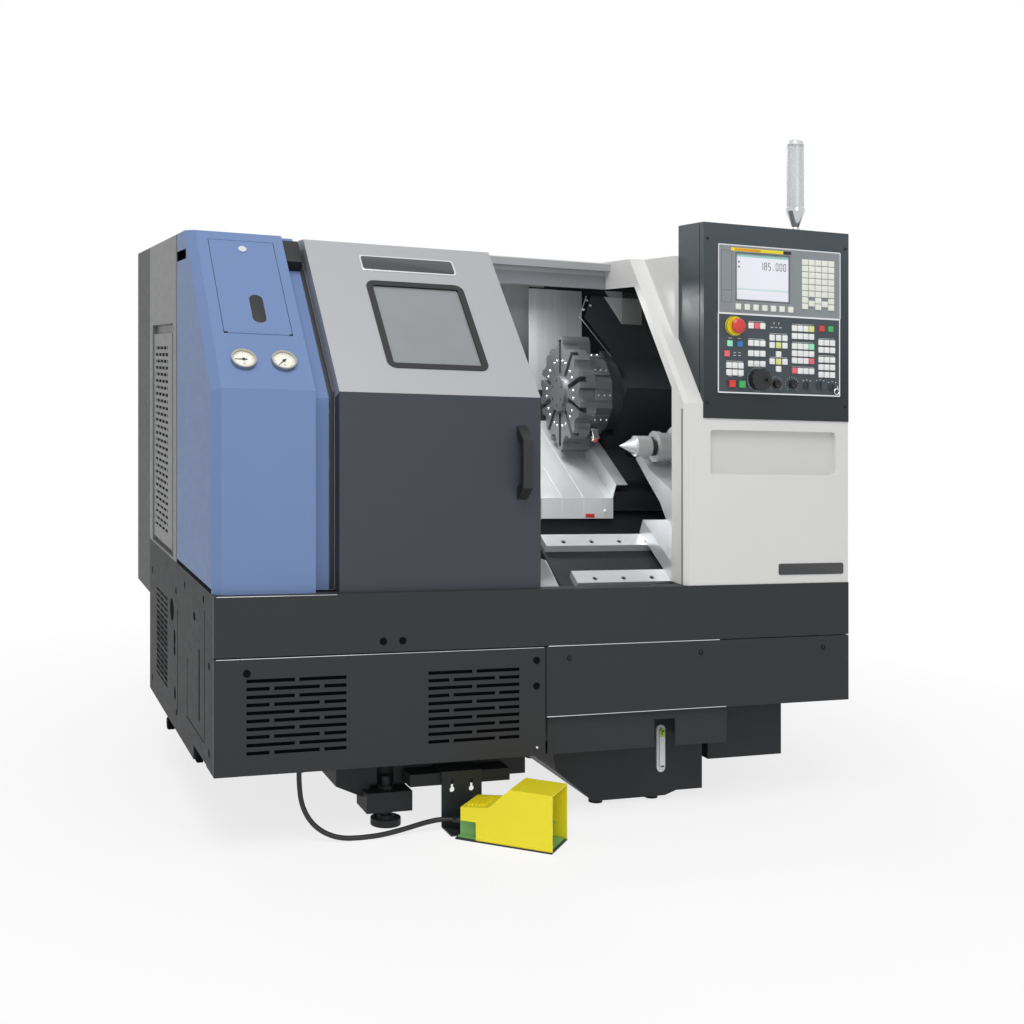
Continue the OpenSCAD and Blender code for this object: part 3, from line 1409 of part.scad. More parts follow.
place() turret_disc();
place() tool_holders();
place() tailstock();
place() quill();
place() live_centre();
place() pedal_bracket();
place() pedal_base();
place() pedal_guard();
place() pedal_lever();
place() pedal_cord();
place() cord_glands();
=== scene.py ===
"""Dressing of the turning lathe: finishes, small fittings, foot switch cable and studio.

Laid out as an add-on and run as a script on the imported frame. Places are in millimetres from
the machine's left side, the front of its base and the floor.
"""
import math

import bmesh
import bpy
from bpy.props import FloatProperty, FloatVectorProperty, IntProperty, PointerProperty
from mathutils import Matrix, Vector


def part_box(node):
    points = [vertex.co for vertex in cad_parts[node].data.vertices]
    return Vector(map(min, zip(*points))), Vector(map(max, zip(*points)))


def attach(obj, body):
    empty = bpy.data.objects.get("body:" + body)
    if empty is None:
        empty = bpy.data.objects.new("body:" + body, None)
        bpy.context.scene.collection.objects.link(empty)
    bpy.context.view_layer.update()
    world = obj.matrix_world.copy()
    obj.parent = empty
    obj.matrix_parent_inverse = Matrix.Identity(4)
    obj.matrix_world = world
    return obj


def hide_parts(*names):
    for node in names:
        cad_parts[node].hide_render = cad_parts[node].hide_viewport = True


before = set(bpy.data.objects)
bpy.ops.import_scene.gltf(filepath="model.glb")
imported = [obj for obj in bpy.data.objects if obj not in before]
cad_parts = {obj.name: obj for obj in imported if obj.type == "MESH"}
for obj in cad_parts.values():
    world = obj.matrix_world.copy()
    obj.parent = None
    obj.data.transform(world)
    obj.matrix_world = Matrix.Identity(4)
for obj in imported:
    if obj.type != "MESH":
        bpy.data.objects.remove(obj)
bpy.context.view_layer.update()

bl_info = {
    "name": "Turning Lathe Dressing",
    "version": (1, 0, 0),
    "blender": (4, 5, 0),
    "location": "3D View > Sidebar > Lathe",
    "description": "Finishes, fittings, cable and studio for the packed turning lathe",
    "category": "Object",
}

# Planes and lines that fittings sit on, in millimetres but for LEFT and FRONT.
MM = 0.001
LEFT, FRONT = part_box("chip_pan")[0][:2]
SLOPE = math.radians(46.5)
SLANT = math.radians(30)
KNEE_Y, KNEE_Z = 20, 1138
SPINDLE_Y, SPINDLE_Z = 450, 990
PANEL_X, PANEL_Y, PANEL_Z = 1393, -8, 1170
DISPLAY_Y, SCREEN_Y = -10, -7
COVER_TOP, COVER_FRONT = -191, 539.4
LINER_Y, SPLASH_Y = 1010, 740.1
BACK_Y, LEAF_Y = 1160, 1465.5
GAUGE_S = 93
INK = 0.12
SHARP = math.radians(35)
CABLE_ROUTE = [
    (226, 70, 172), (226, 69, 150), (227, 66, 126), (230, 62, 100), (238, 56, 74), (252, 48, 50),
    (272, 40, 31), (298, 33, 17), (328, 28, 9), (360, 25, 7), (395, 25, 7), (430, 28, 8),
    (465, 33, 11), (500, 39, 15), (535, 45, 20), (566, 49, 24), (592, 48, 27), (612, 43, 28),
    (628, 36, 28),
]


# Places

def at(x, y, z):
    """Point of the machine in the frame's metres."""
    return Vector((LEFT + x * MM, FRONT + y * MM, z * MM))


def seat(point, across, up):
    """Matrix that sets a piece drawn in millimetres on a face, its z pointing out of the face."""
    across, up = Vector(across), Vector(up)
    turn = Matrix((across, up, across.cross(up))).transposed().to_4x4()
    return Matrix.Translation(point) @ turn @ Matrix.Scale(MM, 4)


def on_front(x, z, y):
    """Seat on an upright face that looks to the front."""
    return seat(at(x, y, z), (1, 0, 0), (0, 0, 1))


def on_left(y, z, x=0):
    """Seat on the left side."""
    return seat(at(x, y, z), (0, -1, 0), (0, 0, 1))


def on_back(x, z, y):
    """Seat on an upright face that looks to the back."""
    return seat(at(x, y, z), (-1, 0, 0), (0, 0, 1))


def on_top(x, y, z):
    """Seat on a level face."""
    return seat(at(x, y, z), (1, 0, 0), (0, 1, 0))


def on_lean(x, s, lift, angle, y, z):
    """Seat on a plane that leans back, s up it and lift out of it from a line at y and z."""
    up = (0, math.cos(angle), math.sin(angle))
    spot = at(x, y + s * up[1] - lift * up[2], z + s * up[2] + lift * up[1])
    return seat(spot, (1, 0, 0), up)


def on_slope(x, s, lift=0):
    """Seat on the leaning front, measured from the knee."""
    return on_lean(x, s, lift, SLOPE, KNEE_Y, KNEE_Z)


def on_slant(x, s, lift):
    """Seat on the slanted bed, measured from the spindle axis."""
    return on_lean(x, s, lift, SLANT, SPINDLE_Y, SPINDLE_Z)


def on_panel(x, z, lift=0):
    """Seat on the key panel, from its lower left corner."""
    return on_front(PANEL_X + x, PANEL_Z + z, PANEL_Y - lift)


# Modelling

class Work:
    """Gathers solids drawn in millimetres, each at its seat, into one piece."""

    def __init__(self):
        self.bm = bmesh.new()

    def add(self, part, place, finish=0):
        """Moves a finished solid to its seat and takes it in."""
        bmesh.ops.remove_doubles(part, verts=part.verts[:], dist=1e-4)
        bmesh.ops.recalc_face_normals(part, faces=part.faces[:])
        for face in part.faces:
            face.material_index = finish
        bmesh.ops.transform(part, matrix=place, verts=part.verts[:])
        carrier = bpy.data.meshes.new("carrier")
        part.to_mesh(carrier)
        part.free()
        self.bm.from_mesh(carrier)
        bpy.data.meshes.remove(carrier)
        return self

    def done(self, name, body, slot, *finishes):
        """Makes the piece, which rides on a body and has its finishes; the slot is not used."""
        if not self.bm.faces:
            raise RuntimeError(name + " has no faces")
        mesh = bpy.data.meshes.new(name)
        self.bm.to_mesh(mesh)
        self.bm.free()
        mesh.shade_smooth()
        mesh.set_sharp_from_angle(angle=SHARP)
        for finish in finishes:
            mesh.materials.append(FINISHES[finish])
        made = bpy.data.objects.new(name, mesh)
        bpy.context.scene.collection.objects.link(made)
        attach(made, body)
        return made


def turned(profile, steps):
    """Solid turned about z from pairs of radius and height."""
    part = bmesh.new()
    verts = [part.verts.new((r, 0, z)) for r, z in profile]
    edges = [part.edges.new(pair) for pair in zip(verts, verts[1:])]
    bmesh.ops.spin(part, geom=verts + edges, cent=(0, 0, 0), axis=(0, 0, 1),
                   angle=math.tau, steps=steps, use_merge=True)
    return part


def slab(w, h, d, corner=0.0, edge=0.0):
    """Plate w by h and d thick that stands on its seat, its corners and front edge rounded."""
    part = bmesh.new()
    shape = Matrix.Translation((0, 0, d / 2)) @ Matrix.Diagonal((w, h, d, 1))
    bmesh.ops.create_cube(part, size=1, matrix=shape)
    if corner:
        upright = [e for e in part.edges if (e.verts[0].co - e.verts[1].co).xy.length < 1e-6]
        bmesh.ops.bevel(part, geom=upright, offset=corner, segments=6, profile=0.5,
                        affect="EDGES", material=-1)
    if edge:
        rim = [e for e in part.edges if all(abs(v.co.z - d) < 1e-6 for v in e.verts)]
        bmesh.ops.bevel(part, geom=rim, offset=edge, segments=2, profile=0.5,
                        affect="EDGES", material=-1)
    return part


def frame_of(w, h, d, band, corner=0.0):
    """Flat frame round an opening, its band inside w by h."""
    part = slab(w, h, d, corner)
    caps = [f for f in part.faces if abs(f.normal.z) > 0.9]
    bmesh.ops.inset_region(part, faces=caps, thickness=band, use_even_offset=True)
    rims = [e for f in caps for e in f.edges]
    bmesh.ops.delete(part, geom=caps, context="FACES_ONLY")
    bmesh.ops.bridge_loops(part, edges=rims)
    return part


def bar(points, radius, sides=10):
    """Round bar along a few points, from a ring that is extruded from point to point."""
    part = bmesh.new()
    line = [Vector(p) for p in points]
    ring = None
    for i, spot in enumerate(line):
        ahead = (line[min(i + 1, len(line) - 1)] - line[max(i - 1, 0)]).normalized()
        turn = ahead.to_track_quat("Z", "Y").to_matrix().to_4x4()
        made = bmesh.ops.create_circle(part, cap_ends=i in (0, len(line) - 1), segments=sides,
                                       radius=radius, matrix=Matrix.Translation(spot) @ turn)
        edges = [e for e in part.edges if all(v in made["verts"] for v in e.verts)]
        if ring:
            bmesh.ops.bridge_loops(part, edges=ring + edges)
        ring = edges
    return part


def cut(part, point, normal):
    """Cuts off what lies beyond a plane and closes the cut."""
    geom = part.verts[:] + part.edges[:] + part.faces[:]
    made = bmesh.ops.bisect_plane(part, geom=geom, plane_co=point, plane_no=normal,
                                  clear_outer=True)
    rim = [e for e in made["geom_cut"] if isinstance(e, bmesh.types.BMEdge)]
    bmesh.ops.contextual_create(part, geom=rim)
    return part


def screw_head(d, h):
    """Button head with a round socket."""
    r = d / 2
    return turned([(0, h * 0.45), (r * 0.42, h * 0.45), (r * 0.46, h), (r * 0.7, h * 0.95),
                   (r * 0.93, h * 0.55), (r, 0)], 18)


def dome_plug(d, h):
    """Round plug with a soft rim and a shallow dish."""
    r = d / 2
    return turned([(0, h * 0.62), (r * 0.55, h * 0.68), (r * 0.7, h), (r * 0.88, h * 0.92),
                   (r, h * 0.3), (r, 0)], 20)


# Shading

class Flow:
    """Socket of one finish's nodes: arithmetic on it adds Math nodes."""

    def __init__(self, tree, socket=None):
        self.tree = tree
        self.socket = socket

    def node(self, kind, inputs=None, out=0, **settings):
        """Adds a node with its settings and the values or links of its sockets."""
        made = self.tree.nodes.new(kind)
        for key, value in settings.items():
            setattr(made, key, value)
        for key, value in (inputs or {}).items():
            if isinstance(value, Flow):
                self.tree.links.new(value.socket, made.inputs[key])
            else:
                made.inputs[key].default_value = value
        return Flow(self.tree, made.outputs[out] if made.outputs else None)

    def math(self, operation, a, b=0.0, c=0.0):
        """Math node on values."""
        return self.node("ShaderNodeMath", {0: a, 1: b, 2: c}, operation=operation)

    def applies(operation):
        """Method for a Math node on this value and another."""
        return lambda self, other: self.math(operation, self, other)

    __add__, __sub__ = applies("ADD"), applies("SUBTRACT")
    __mul__, __truediv__ = applies("MULTIPLY"), applies("DIVIDE")
    __gt__, __lt__ = applies("GREATER_THAN"), applies("LESS_THAN")

    def __rsub__(self, other):
        return self.math("SUBTRACT", other, self)

    def within(self, low, high):
        """1 between two values and 0 outside them."""
        return (self > low) * (self < high)

    def beside(self, middle, reach):
        """1 within a reach of a value and 0 beyond it."""
        return self.math("COMPARE", self, middle, reach)

    def clamp(self):
        """The value held between 0 and 1."""
        return self.node("ShaderNodeClamp", {"Value": self})

    def blend(self, low, high):
        """Colour from low to high as this value goes from 0 to 1."""
        return self.node("ShaderNodeMix", {0: self, 6: low, 7: high}, 2, data_type="RGBA")

    def place(self, move=(0, 0, 0), scale=(1, 1, 1)):
        """Object coordinates, moved and scaled."""
        here = self.node("ShaderNodeTexCoord", out="Object")
        return self.node("ShaderNodeMapping", {"Vector": here, "Location": move, "Scale": scale})

    def seen(self):
        """1 where the camera looks straight, by gloss or through glass, and 0 for other light."""
        straight, gloss, glass = [
            self.node("ShaderNodeLightPath", out=name)
            for name in ("Is Camera Ray", "Is Glossy Ray", "Is Transmission Ray")]
        return (straight + gloss + glass).clamp()

    def noise(self, where, scale, detail=3.0, rough=0.5):
        """Cloudy value round 0.5."""
        return self.node("ShaderNodeTexNoise", {"Vector": where, "Scale": scale, "Detail": detail,
                                                "Roughness": rough})

    def bump(self, height, strength, depth):
        """Normal raised by a height."""
        return self.node("ShaderNodeBump",
                         {"Height": height, "Strength": strength, "Distance": depth})

    def split(self, where):
        """The three values of a vector."""
        return [self.node("ShaderNodeSeparateXYZ", {0: where}, i) for i in range(3)]


def rgb(code):
    """Linear colour of a hex code."""
    parts = [int(code[i:i + 2], 16) / 255 for i in (1, 3, 5)]
    lin = [p / 12.92 if p <= 0.04045 else ((p + 0.055) / 1.055) ** 2.4 for p in parts]
    return (*lin, 1.0)


def tint(colour, gain):
    """A colour made lighter or darker."""
    return tuple(min(1.0, gain * p) for p in colour[:3]) + (1.0,)


FINISHES = {}


def begin(name):
    """New material with an empty node tree."""
    made = bpy.data.materials.new(name)
    made.use_nodes = True
    made.node_tree.nodes.clear()
    FINISHES[name] = made
    return Flow(made.node_tree)


def end(flow, surface):
    """Joins a shader to the material's output."""
    flow.node("ShaderNodeOutputMaterial", {"Surface": surface})


def shader(flow, **inputs):
    """Principled shader, its sockets named with _ for a space."""
    names = {key.replace("_", " "): value for key, value in inputs.items()}
    return flow.node("ShaderNodeBsdfPrincipled", names)


def painted(name, colour, rough, grain=0.12, coat=0.0, metal=0.0, scuff=0.05, gloss=0.3,
            marks=None, other=None, matte=False):
    """Powder coat: faint clouds, a fine peel, rubbed patches and marks of another colour, some of
    them painted shade and a painted reflection.
    """
    flow = begin(name)
    here = flow.place()
    cloud = flow.noise(here, scale=2.4, detail=4.0)
    peel = flow.noise(here, scale=420.0, detail=2.0)
    rub = flow.noise(flow.place(scale=(3.0, 3.0, 9.0)), scale=6.0, detail=6.0, rough=0.65)
    shade = (cloud * 1.4 - 0.2).clamp().blend(tint(colour, 1 - scuff), tint(colour, 1 + scuff))
    base = (peel * 0.25 + 0.38).clamp().blend(shade, colour)
    found = marks(*flow.split(here)).clamp() if marks else None
    if marks:
        base = found.blend(base, other)
    surface = shader(
        flow, Base_Color=base, Roughness=(rub * 0.22 + rough - 0.11).clamp(), Metallic=metal,
        Coat_Weight=coat, Coat_Roughness=0.18, Specular_IOR_Level=gloss,
        Normal=flow.bump(peel, grain, depth=0.0006))
    # Matte dark marks: the skirt's seams, ports and screws, and painted shade in its vents and in
    # the gap under the blue cover.
    if matte:
        dark_matte = shader(flow, Base_Color=other, Roughness=0.9, Specular_IOR_Level=0.03)
        surface = flow.node("ShaderNodeMixShader", {0: found, 1: surface, 2: dark_matte})
    end(flow, surface)


def metal(name, colour, rough, along=(1, 60, 60), relief=0.08, dark=0.8, plate=1.0,
          marks=None, other=None, cloudy=1.0):
    """Ground or brushed metal: streaks along one way, on the upright sheets partly painted
    reflections, cloudy polish, and parts of another shade, among them a painted highlight and
    painted shade.
    """
    flow = begin(name)
    here = flow.place()
    streak = flow.noise(flow.place(scale=along), scale=12.0, detail=5.0, rough=0.6)
    cloud = flow.noise(here, scale=5.0)
    shade = (streak * 0.6 + cloud * 0.6 - 0.1).clamp().blend(tint(colour, dark), tint(colour, 1.06))
    if marks:
        shade = marks(*flow.split(here)).clamp().blend(shade, other)
    surface = shader(flow, Base_Color=shade, Metallic=plate,
                     Roughness=((streak * 0.16 + cloud * 0.12 - 0.14) * cloudy + rough).clamp(),
                     Normal=flow.bump(streak, relief, depth=0.0004))
    end(flow, surface)


def moulded(name, colour, rough, grain=0.1, coat=0.0):
    """Moulded plastic or rubber with a fine spark-eroded grain."""
    flow = begin(name)
    here = flow.place()
    fine = flow.noise(here, scale=900.0, detail=2.0)
    cloud = flow.noise(here, scale=14.0)
    surface = shader(flow, Base_Color=cloud.blend(tint(colour, 0.9), tint(colour, 1.1)),
                     Roughness=(fine * 0.12 + cloud * 0.1 + rough - 0.11).clamp(),
                     Coat_Weight=coat, Coat_Roughness=0.1,
                     Normal=flow.bump(fine, grain, depth=0.0003))
    end(flow, surface)


SKIN = 0.0008
VENT_PITCH = 17
VENT_COLUMNS = [(775, 842), (854, 922), (934, 1004)]
SKIRT_PORTS = [(687, 483, 36, 32), (638, 410, 17, 24), (638, 376, 17, 16), (630, 256, 16, 19),
               (292, 533, 17, 12)]
SKIRT_SCREWS = [(610, 549), (602, 208), (1103, 537), (1103, 200), (68, 448), (68, 233), (450, 590),
                (150, 600)]


def dot(a, b, mid_a, mid_b, square):
    """1 in a round mark and 0 outside it, from the square of its radius."""
    return (a - mid_a) * (a - mid_a) + (b - mid_b) * (b - mid_b) < square


def skirt_marks(x, y, z):
    """Ports, screws, vents and panel outline on the left side of the base; the dark vent rows are
    painted shade of the open vents.
    """
    side = x < LEFT + SKIN
    y, z = (y - FRONT) / MM, z / MM
    found = (y.beside(582, 4) * z.within(205, 500) + y.beside(134, 3.4) * z.within(250, 574)
             + y.beside(409, 3.4) * z.within(240, 400) + y.within(134, 409) * z.beside(241, 1.8))
    # Vent rows: dark dashes where the vents are open, painted shade.
    step = z / VENT_PITCH
    row = step.math("FRACT", step) < 0.45
    for low, high in VENT_COLUMNS:
        found = found + row * y.within(low, high) * z.within(238, 504)
    for py, pz, w, h in SKIRT_PORTS:
        found = found + dot(y / w, z / h, py / w, pz / h, 1.0)
    for py, pz in SKIRT_SCREWS:
        found = found + dot(y, z, py, pz, 110.0)
    return found * side


def cover_marks(x, y, z):
    """Painted shade on the floor of the recess, seam of the jamb and service panel in the side of
    the right cover.
    """
    x, y, z = (x - LEFT) / MM, (y - FRONT) / MM, z / MM
    near, far, low, high, line = 250, 1050, 780, 1460, 1.6
    # Floor of the recess a little darker: painted shade.
    recess_shade = y.beside(19, 0.6) * x.within(1370, 1790) * z.within(936, 1068)
    seam = (x < 1296.8) * y.beside(24, 4) * z.within(630, 1120) * 2.0
    side = x > 1829.4
    outline = (y.within(near, far) * (z.beside(low, line) + z.beside(high, line))
               + z.within(low, high) * (y.beside(near, line) + y.beside(far, line)))
    found = recess_shade * 0.13 + seam + side * 0.75 * outline
    for py in (280, 650, 1020):
        for pz in (810, 1120, 1430):
            found = found + side * 0.9 * dot(y, z, py, pz, 40.0)
    return found


def make_finishes(colours):
    """All the finishes that nodes and pieces share."""
    paint = {name: (*getattr(colours, name), 1.0) for name in LatheColours.__annotations__}
    white, slate = paint["white"], paint["slate"]
    painted("base coat", paint["base"], 0.5, grain=0.22, gloss=0.12)
    painted("skirt coat", paint["base"], 0.55, grain=0.22, gloss=0.08, marks=skirt_marks,
            other=rgb("#08090a"), matte=True)
    painted("casting coat", rgb("#26282a"), 0.6, grain=0.5, scuff=0.14)
    # Dark matte band at the bottom of the blue cover's left side: painted shadow of the gap above
    # the base.
    painted("blue coat", paint["blue"], 0.46, scuff=0.02, gloss=0.1, other=rgb("#0f1114"),
            marks=lambda x, y, z: (x < LEFT + SKIN) * (z < 0.643), matte=True)
    # Darker within 612 mm of the front, beside the blue cover and on the door gap strip: painted
    # shade.
    painted("grey coat", paint["side"], 0.44, grain=0.16, scuff=0.02, gloss=0.2,
            other=rgb("#3c3e40"), marks=lambda x, y, z: y < FRONT + 0.612)
    painted("cabinet coat", rgb("#505252"), 0.5, grain=0.16, scuff=0.02, gloss=0.1)
    painted("white coat", white, 0.4, scuff=0.015)
    painted("cover coat", white, 0.4, scuff=0.015, other=tint(white, 0.22), marks=cover_marks)
    # Darker band on the header below its top flange: painted shade.
    painted("frame coat", rgb("#a2a4a8"), 0.36, grain=0.08, metal=0.3, scuff=0.04,
            other=rgb("#888a8f"), marks=lambda x, y, z: z.within(1.42, 1.512) * (y > FRONT + 0.45))
    painted("door coat", paint["door"], 0.4, scuff=0.03, gloss=0.25)
    painted("silver coat", paint["silver"], 0.46, grain=0.08, coat=0.05, metal=0.4, scuff=0.03)
    # Lighter towards the top of the control box: a painted reflection.
    painted("slate coat", slate, 0.34, scuff=0.03, other=tint(slate, 2.7),
            marks=lambda x, y, z: (z - 1.12) / 0.5)
    painted("dark coat", rgb("#2b2f33"), 0.42, grain=0.2, scuff=0.08)
    painted("yellow coat", paint["guard"], 0.4, grain=0.3, coat=0.25)
    painted("green coat", rgb("#7db56a"), 0.45, grain=0.3, scuff=0.07)
    metal("ground steel", rgb("#e8eaec"), 0.32, plate=0.42)
    # Lighter within 540.5 mm of the front and below 830 mm, on the saddle cover's lip and the
    # sheets in front of it: painted highlight.
    metal("bright sheet", rgb("#d0d2d4"), 0.3, (5, 2, 2), 0.01, 0.84, plate=0.42, cloudy=0.4,
          other=rgb("#f4f5f6"), marks=lambda x, y, z: (y < FRONT + 0.5405) * (z < 0.83))
    # Upright streaks on the stainless sheets: partly their grain, partly painted reflections.
    upright = (3.4, 3.4, 0.1)
    metal("streaked sheet", rgb("#f0f2f4"), 0.3, upright, 0.01, 0.5, plate=0.3, cloudy=0.5)
    # Liner: dark paint right of 1300 mm, and darker towards the bottom below 1460 mm, which is
    # painted shade.
    metal("liner sheet", rgb("#c4c6c9"), 0.3, upright, 0.01, 0.5, plate=0.5, cloudy=0.5,
          marks=lambda x, y, z: (x > LEFT + 1.3) + ((1.46 - z) * 5.0).clamp() * 0.85,
          other=rgb("#25282b"))
    metal("turret steel", rgb("#919396"), 0.32, (26, 26, 26), 0.25, 0.5, plate=0.7,
          marks=lambda x, y, z: x > LEFT + 1.2425, other=rgb("#75787c"))
    metal("cast steel", rgb("#dadcde"), 0.42, (18, 18, 18), 0.3, 0.7, plate=0.45)
    metal("turned steel", rgb("#e4e6e7"), 0.22, (80, 4, 4), 0.05, plate=0.5)
    metal("chromed", rgb("#e2e4e6"), 0.12, (40, 40, 40), 0.02, 0.92)
    metal("nickel", rgb("#b9b6ab"), 0.2, (40, 40, 40), 0.02, 0.85)
    metal("blackened steel", rgb("#3a3d41"), 0.36, (30, 30, 30), 0.1)
    for name, code, *surface in PLASTICS:
        moulded(name, rgb(code), *surface)
    clear_finishes()
    mat_finish()
    screen_finish()


# Plastics: name, colour, roughness, grain and coat.
PLASTICS = [
    ("black plastic", "#1b1c1e", 0.42),
    ("black rubber", "#141516", 0.62, 0.2), ("cable jacket", "#17181a", 0.5, 0.15),
    ("bezel grey", "#868b8f", 0.44), ("bezel dark", "#54595d", 0.44),
    ("panel film", "#3d464c", 0.4, 0.06), ("red cap", "#d23a33", 0.3, 0.04, 0.3),
    ("yellow collar", "#e8d524", 0.35, 0.04, 0.2), ("green cap", "#3fae5c", 0.32, 0.04, 0.2),
    ("white cap", "#e9ecea", 0.4, 0.04), ("cream cap", "#e6e7dd", 0.42, 0.04),
    ("lime cap", "#d9e08a", 0.4, 0.04), ("mint cap", "#9ce8c4", 0.4, 0.04),
    ("blue cap", "#2f83c4", 0.36, 0.04), ("rose cap", "#e26a75", 0.38, 0.04),
    ("orange band", "#d9951f", 0.4, 0.04), ("bare badge", "#2a2c2f", 0.3, 0.03, 0.4),
    ("dial cream", "#eceddf", 0.5, 0.02), ("screen ink", "#3c4048", 0.5, 0.02),
    ("level green", "#a9c943", 0.3, 0.02, 0.3),
]


def mat_finish():
    """Black mat with the dots of its weave."""
    flow = begin("black mat")
    cells = flow.node("ShaderNodeTexVoronoi", {"Vector": flow.place(), "Scale": 260.0}, "Distance")
    weave = (cells * 1.6).clamp().blend(rgb("#0b0c0d"), rgb("#141517"))
    end(flow, shader(flow, Base_Color=weave, Roughness=0.95, Specular_IOR_Level=0.03,
                     Normal=flow.bump(cells, 0.3, depth=0.001)))


def screen_finish():
    """Pale lit screen with a title bar, a ruled band and a rule."""
    flow = begin("lit screen")
    corner = at(1451, 0, 1432)
    x, _, z = flow.split(flow.place(move=(-corner.x, 0, -corner.z)))
    title = z > 0.1195
    band = z.within(0.0265, 0.0315)
    rule = z.within(0.0135, 0.0142)
    lines = (title + band * 0.45 + rule * 0.5).clamp()
    glow = (x * 2.2 + 0.3).clamp().blend(rgb("#d4d5e0"), rgb("#dedee6"))
    face = lines.blend(glow, rgb("#8fbcb8"))
    end(flow, shader(flow, Base_Color=face, Emission_Color=face, Emission_Strength=0.2,
                     Roughness=0.22, Coat_Weight=0.3, Coat_Roughness=0.05))


def clear_finishes():
    """Pane, lamp tube and sight glass."""
    flow = begin("door pane")
    veil = flow.noise(flow.place(), scale=3.0)
    end(flow, shader(flow, Base_Color=veil.blend(rgb("#8f9396"), rgb("#a9acae")), Alpha=0.72,
                     Roughness=veil * 0.08 + 0.05, Coat_Weight=0.4, Coat_Roughness=0.03))
    flow = begin("lamp tube")
    z = flow.split(flow.place())[2]
    rib = flow.noise(flow.place(scale=(1, 1, 0.02)), scale=130.0, detail=1.0)
    cone, cap = z < 1.712, z > 1.893
    solid = (cone + cap).clamp()
    glass = rib.blend(rgb("#9da3a7"), rgb("#f4f6f6"))
    end(flow, shader(flow, Base_Color=solid.blend(glass, rgb("#c8cbcd")), Alpha=solid * 0.4 + 0.6,
                     Metallic=cone * 0.8, Roughness=rib * 0.1 + 0.1, Coat_Weight=0.6,
                     Coat_Roughness=0.05))
    flow = begin("sight glass")
    veil = flow.noise(flow.place(), scale=40.0, detail=2.0)
    end(flow, shader(flow, Base_Color=veil.blend(rgb("#dde5ea"), rgb("#f6f9fb")), Alpha=0.9,
                     Roughness=veil * 0.1 + 0.1, Coat_Weight=0.5, Coat_Roughness=0.05))


NODE_FINISH = {
    "base coat": ["chip_pan", "lower_left_cover", "lower_right_cover", "coolant_tank"],
    "skirt coat": ["left_skirt"],
    "casting coat": ["bed_casting", "levelling_feet", "headstock"],
    "blue coat": ["hydraulic_cover", "access_door"],
    "grey coat": ["headstock_cover"],
    "cabinet coat": ["electrical_cabinet", "cabinet_door"],
    "white coat": ["roof_cover"],
    "cover coat": ["right_cover"],
    "frame coat": ["door_frame"],
    "door coat": ["door_lower"],
    "silver coat": ["door_upper"],
    "slate coat": ["control_box"],
    "dark coat": ["saddle", "turret_housing", "pedal_bracket"],
    "yellow coat": ["pedal_guard"],
    "green coat": ["pedal_base", "pedal_lever"],
    "ground steel": ["guideways", "jaw_1", "jaw_2", "jaw_3"],
    "turret steel": ["turret_disc", "tool_holders"],
    "bright sheet": ["chip_chute", "bulkhead", "way_cover", "saddle_cover"],
    "cast steel": ["tailstock"],
    "liner sheet": ["rear_liner"],
    "turned steel": ["spindle", "chuck", "quill", "live_centre"],
    "chromed": ["access_lock"],
    "nickel": ["pressure_gauges"],
    "black plastic": ["needle_left", "needle_right", "door_handle", "handwheel", "feed_knob",
                      "spindle_knob", "cord_glands"],
    "black rubber": ["window_seal"],
    "cable jacket": ["pedal_cord"],
    "bezel grey": ["display_unit"],
    "panel film": ["operator_panel"],
    "red cap": ["stop_button", "hold_button"],
    "green cap": ["start_button"],
    "door pane": ["window_pane"],
    "lamp tube": ["signal_lamp"],
    "sight glass": ["level_gauge"],
}


def paint_of(name, about, code):
    """Property for the colour of a paint."""
    return FloatVectorProperty(name=name, description=about, subtype="COLOR", default=rgb(code)[:3])


def power_of(name, about, watts):
    """Property for the power of a lamp."""
    return FloatProperty(name=name, description=about, default=watts, unit="POWER")


class LatheColours(bpy.types.PropertyGroup):
    """Paint colours of the covers."""

    blue: paint_of("Blue cover", "Paint of the cover on the left", "#7389b3")
    door: paint_of("Door", "Paint of the upright part of the door", "#40434b")
    silver: paint_of("Leaning door", "Paint of the leaning part of the door", "#a9aaad")
    white: paint_of("Right cover", "Paint of the right cover and the roof", "#dadad8")
    base: paint_of("Base", "Paint of the base covers", "#38393b")
    slate: paint_of("Control box", "Paint of the control box", "#282e32")
    side: paint_of("Headstock cover", "Paint of the headstock cover on the left side", "#7c7e7c")
    guard: paint_of("Foot guard", "Paint of the foot switch's guard", "#f6e72a")


class LatheSizes(bpy.types.PropertyGroup):
    """Sizes of the fittings and levels of the studio."""

    cable: FloatProperty(
        name="Cable", description="Diameter of the foot switch cable", default=0.013, unit="LENGTH")
    key: FloatProperty(
        name="Key", description="Side of a panel key", default=0.0166, unit="LENGTH")
    rail_bolts: IntProperty(
        name="Rail bolts", description="Bolts along each tailstock rail", default=7, min=2)
    key_light: power_of("Key light", "Power of the large lamp", 165.0)
    fill_light: power_of("Fill light", "Power of the side lamp", 24.0)
    rear_light: power_of("Rear light", "Power of the lamp behind", 70.0)
    work_light: power_of("Work light", "Power of the lamp in the work area", 5.2)
    ambient: FloatProperty(
        name="Ambient", description="Strength of the light from all round", default=0.46)


# Operators

class LATHE_OT_cable(bpy.types.Operator):
    """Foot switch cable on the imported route"""

    bl_idname = "lathe.cable"
    bl_label = "Foot Switch Cable"

    def execute(self, context):
        sizes = context.scene.lathe_sizes
        route = [at(*p) for p in CABLE_ROUTE]
        line = bpy.data.curves.new("pedal_cable", "CURVE")
        line.dimensions = "3D"
        line.bevel_depth = sizes.cable / 2
        line.bevel_resolution = 6
        line.resolution_u = 8
        line.use_fill_caps = True
        spline = line.splines.new("BEZIER")
        spline.bezier_points.add(len(route) - 1)
        for knot, spot in zip(spline.bezier_points, route):
            knot.co = spot
            knot.handle_left_type = knot.handle_right_type = "AUTO"
        line.materials.append(FINISHES["cable jacket"])
        cable = bpy.data.objects.new("pedal_cable", line)
        context.scene.collection.objects.link(cable)
        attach(cable, "machine")
        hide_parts("pedal_cord")
        return {"FINISHED"}


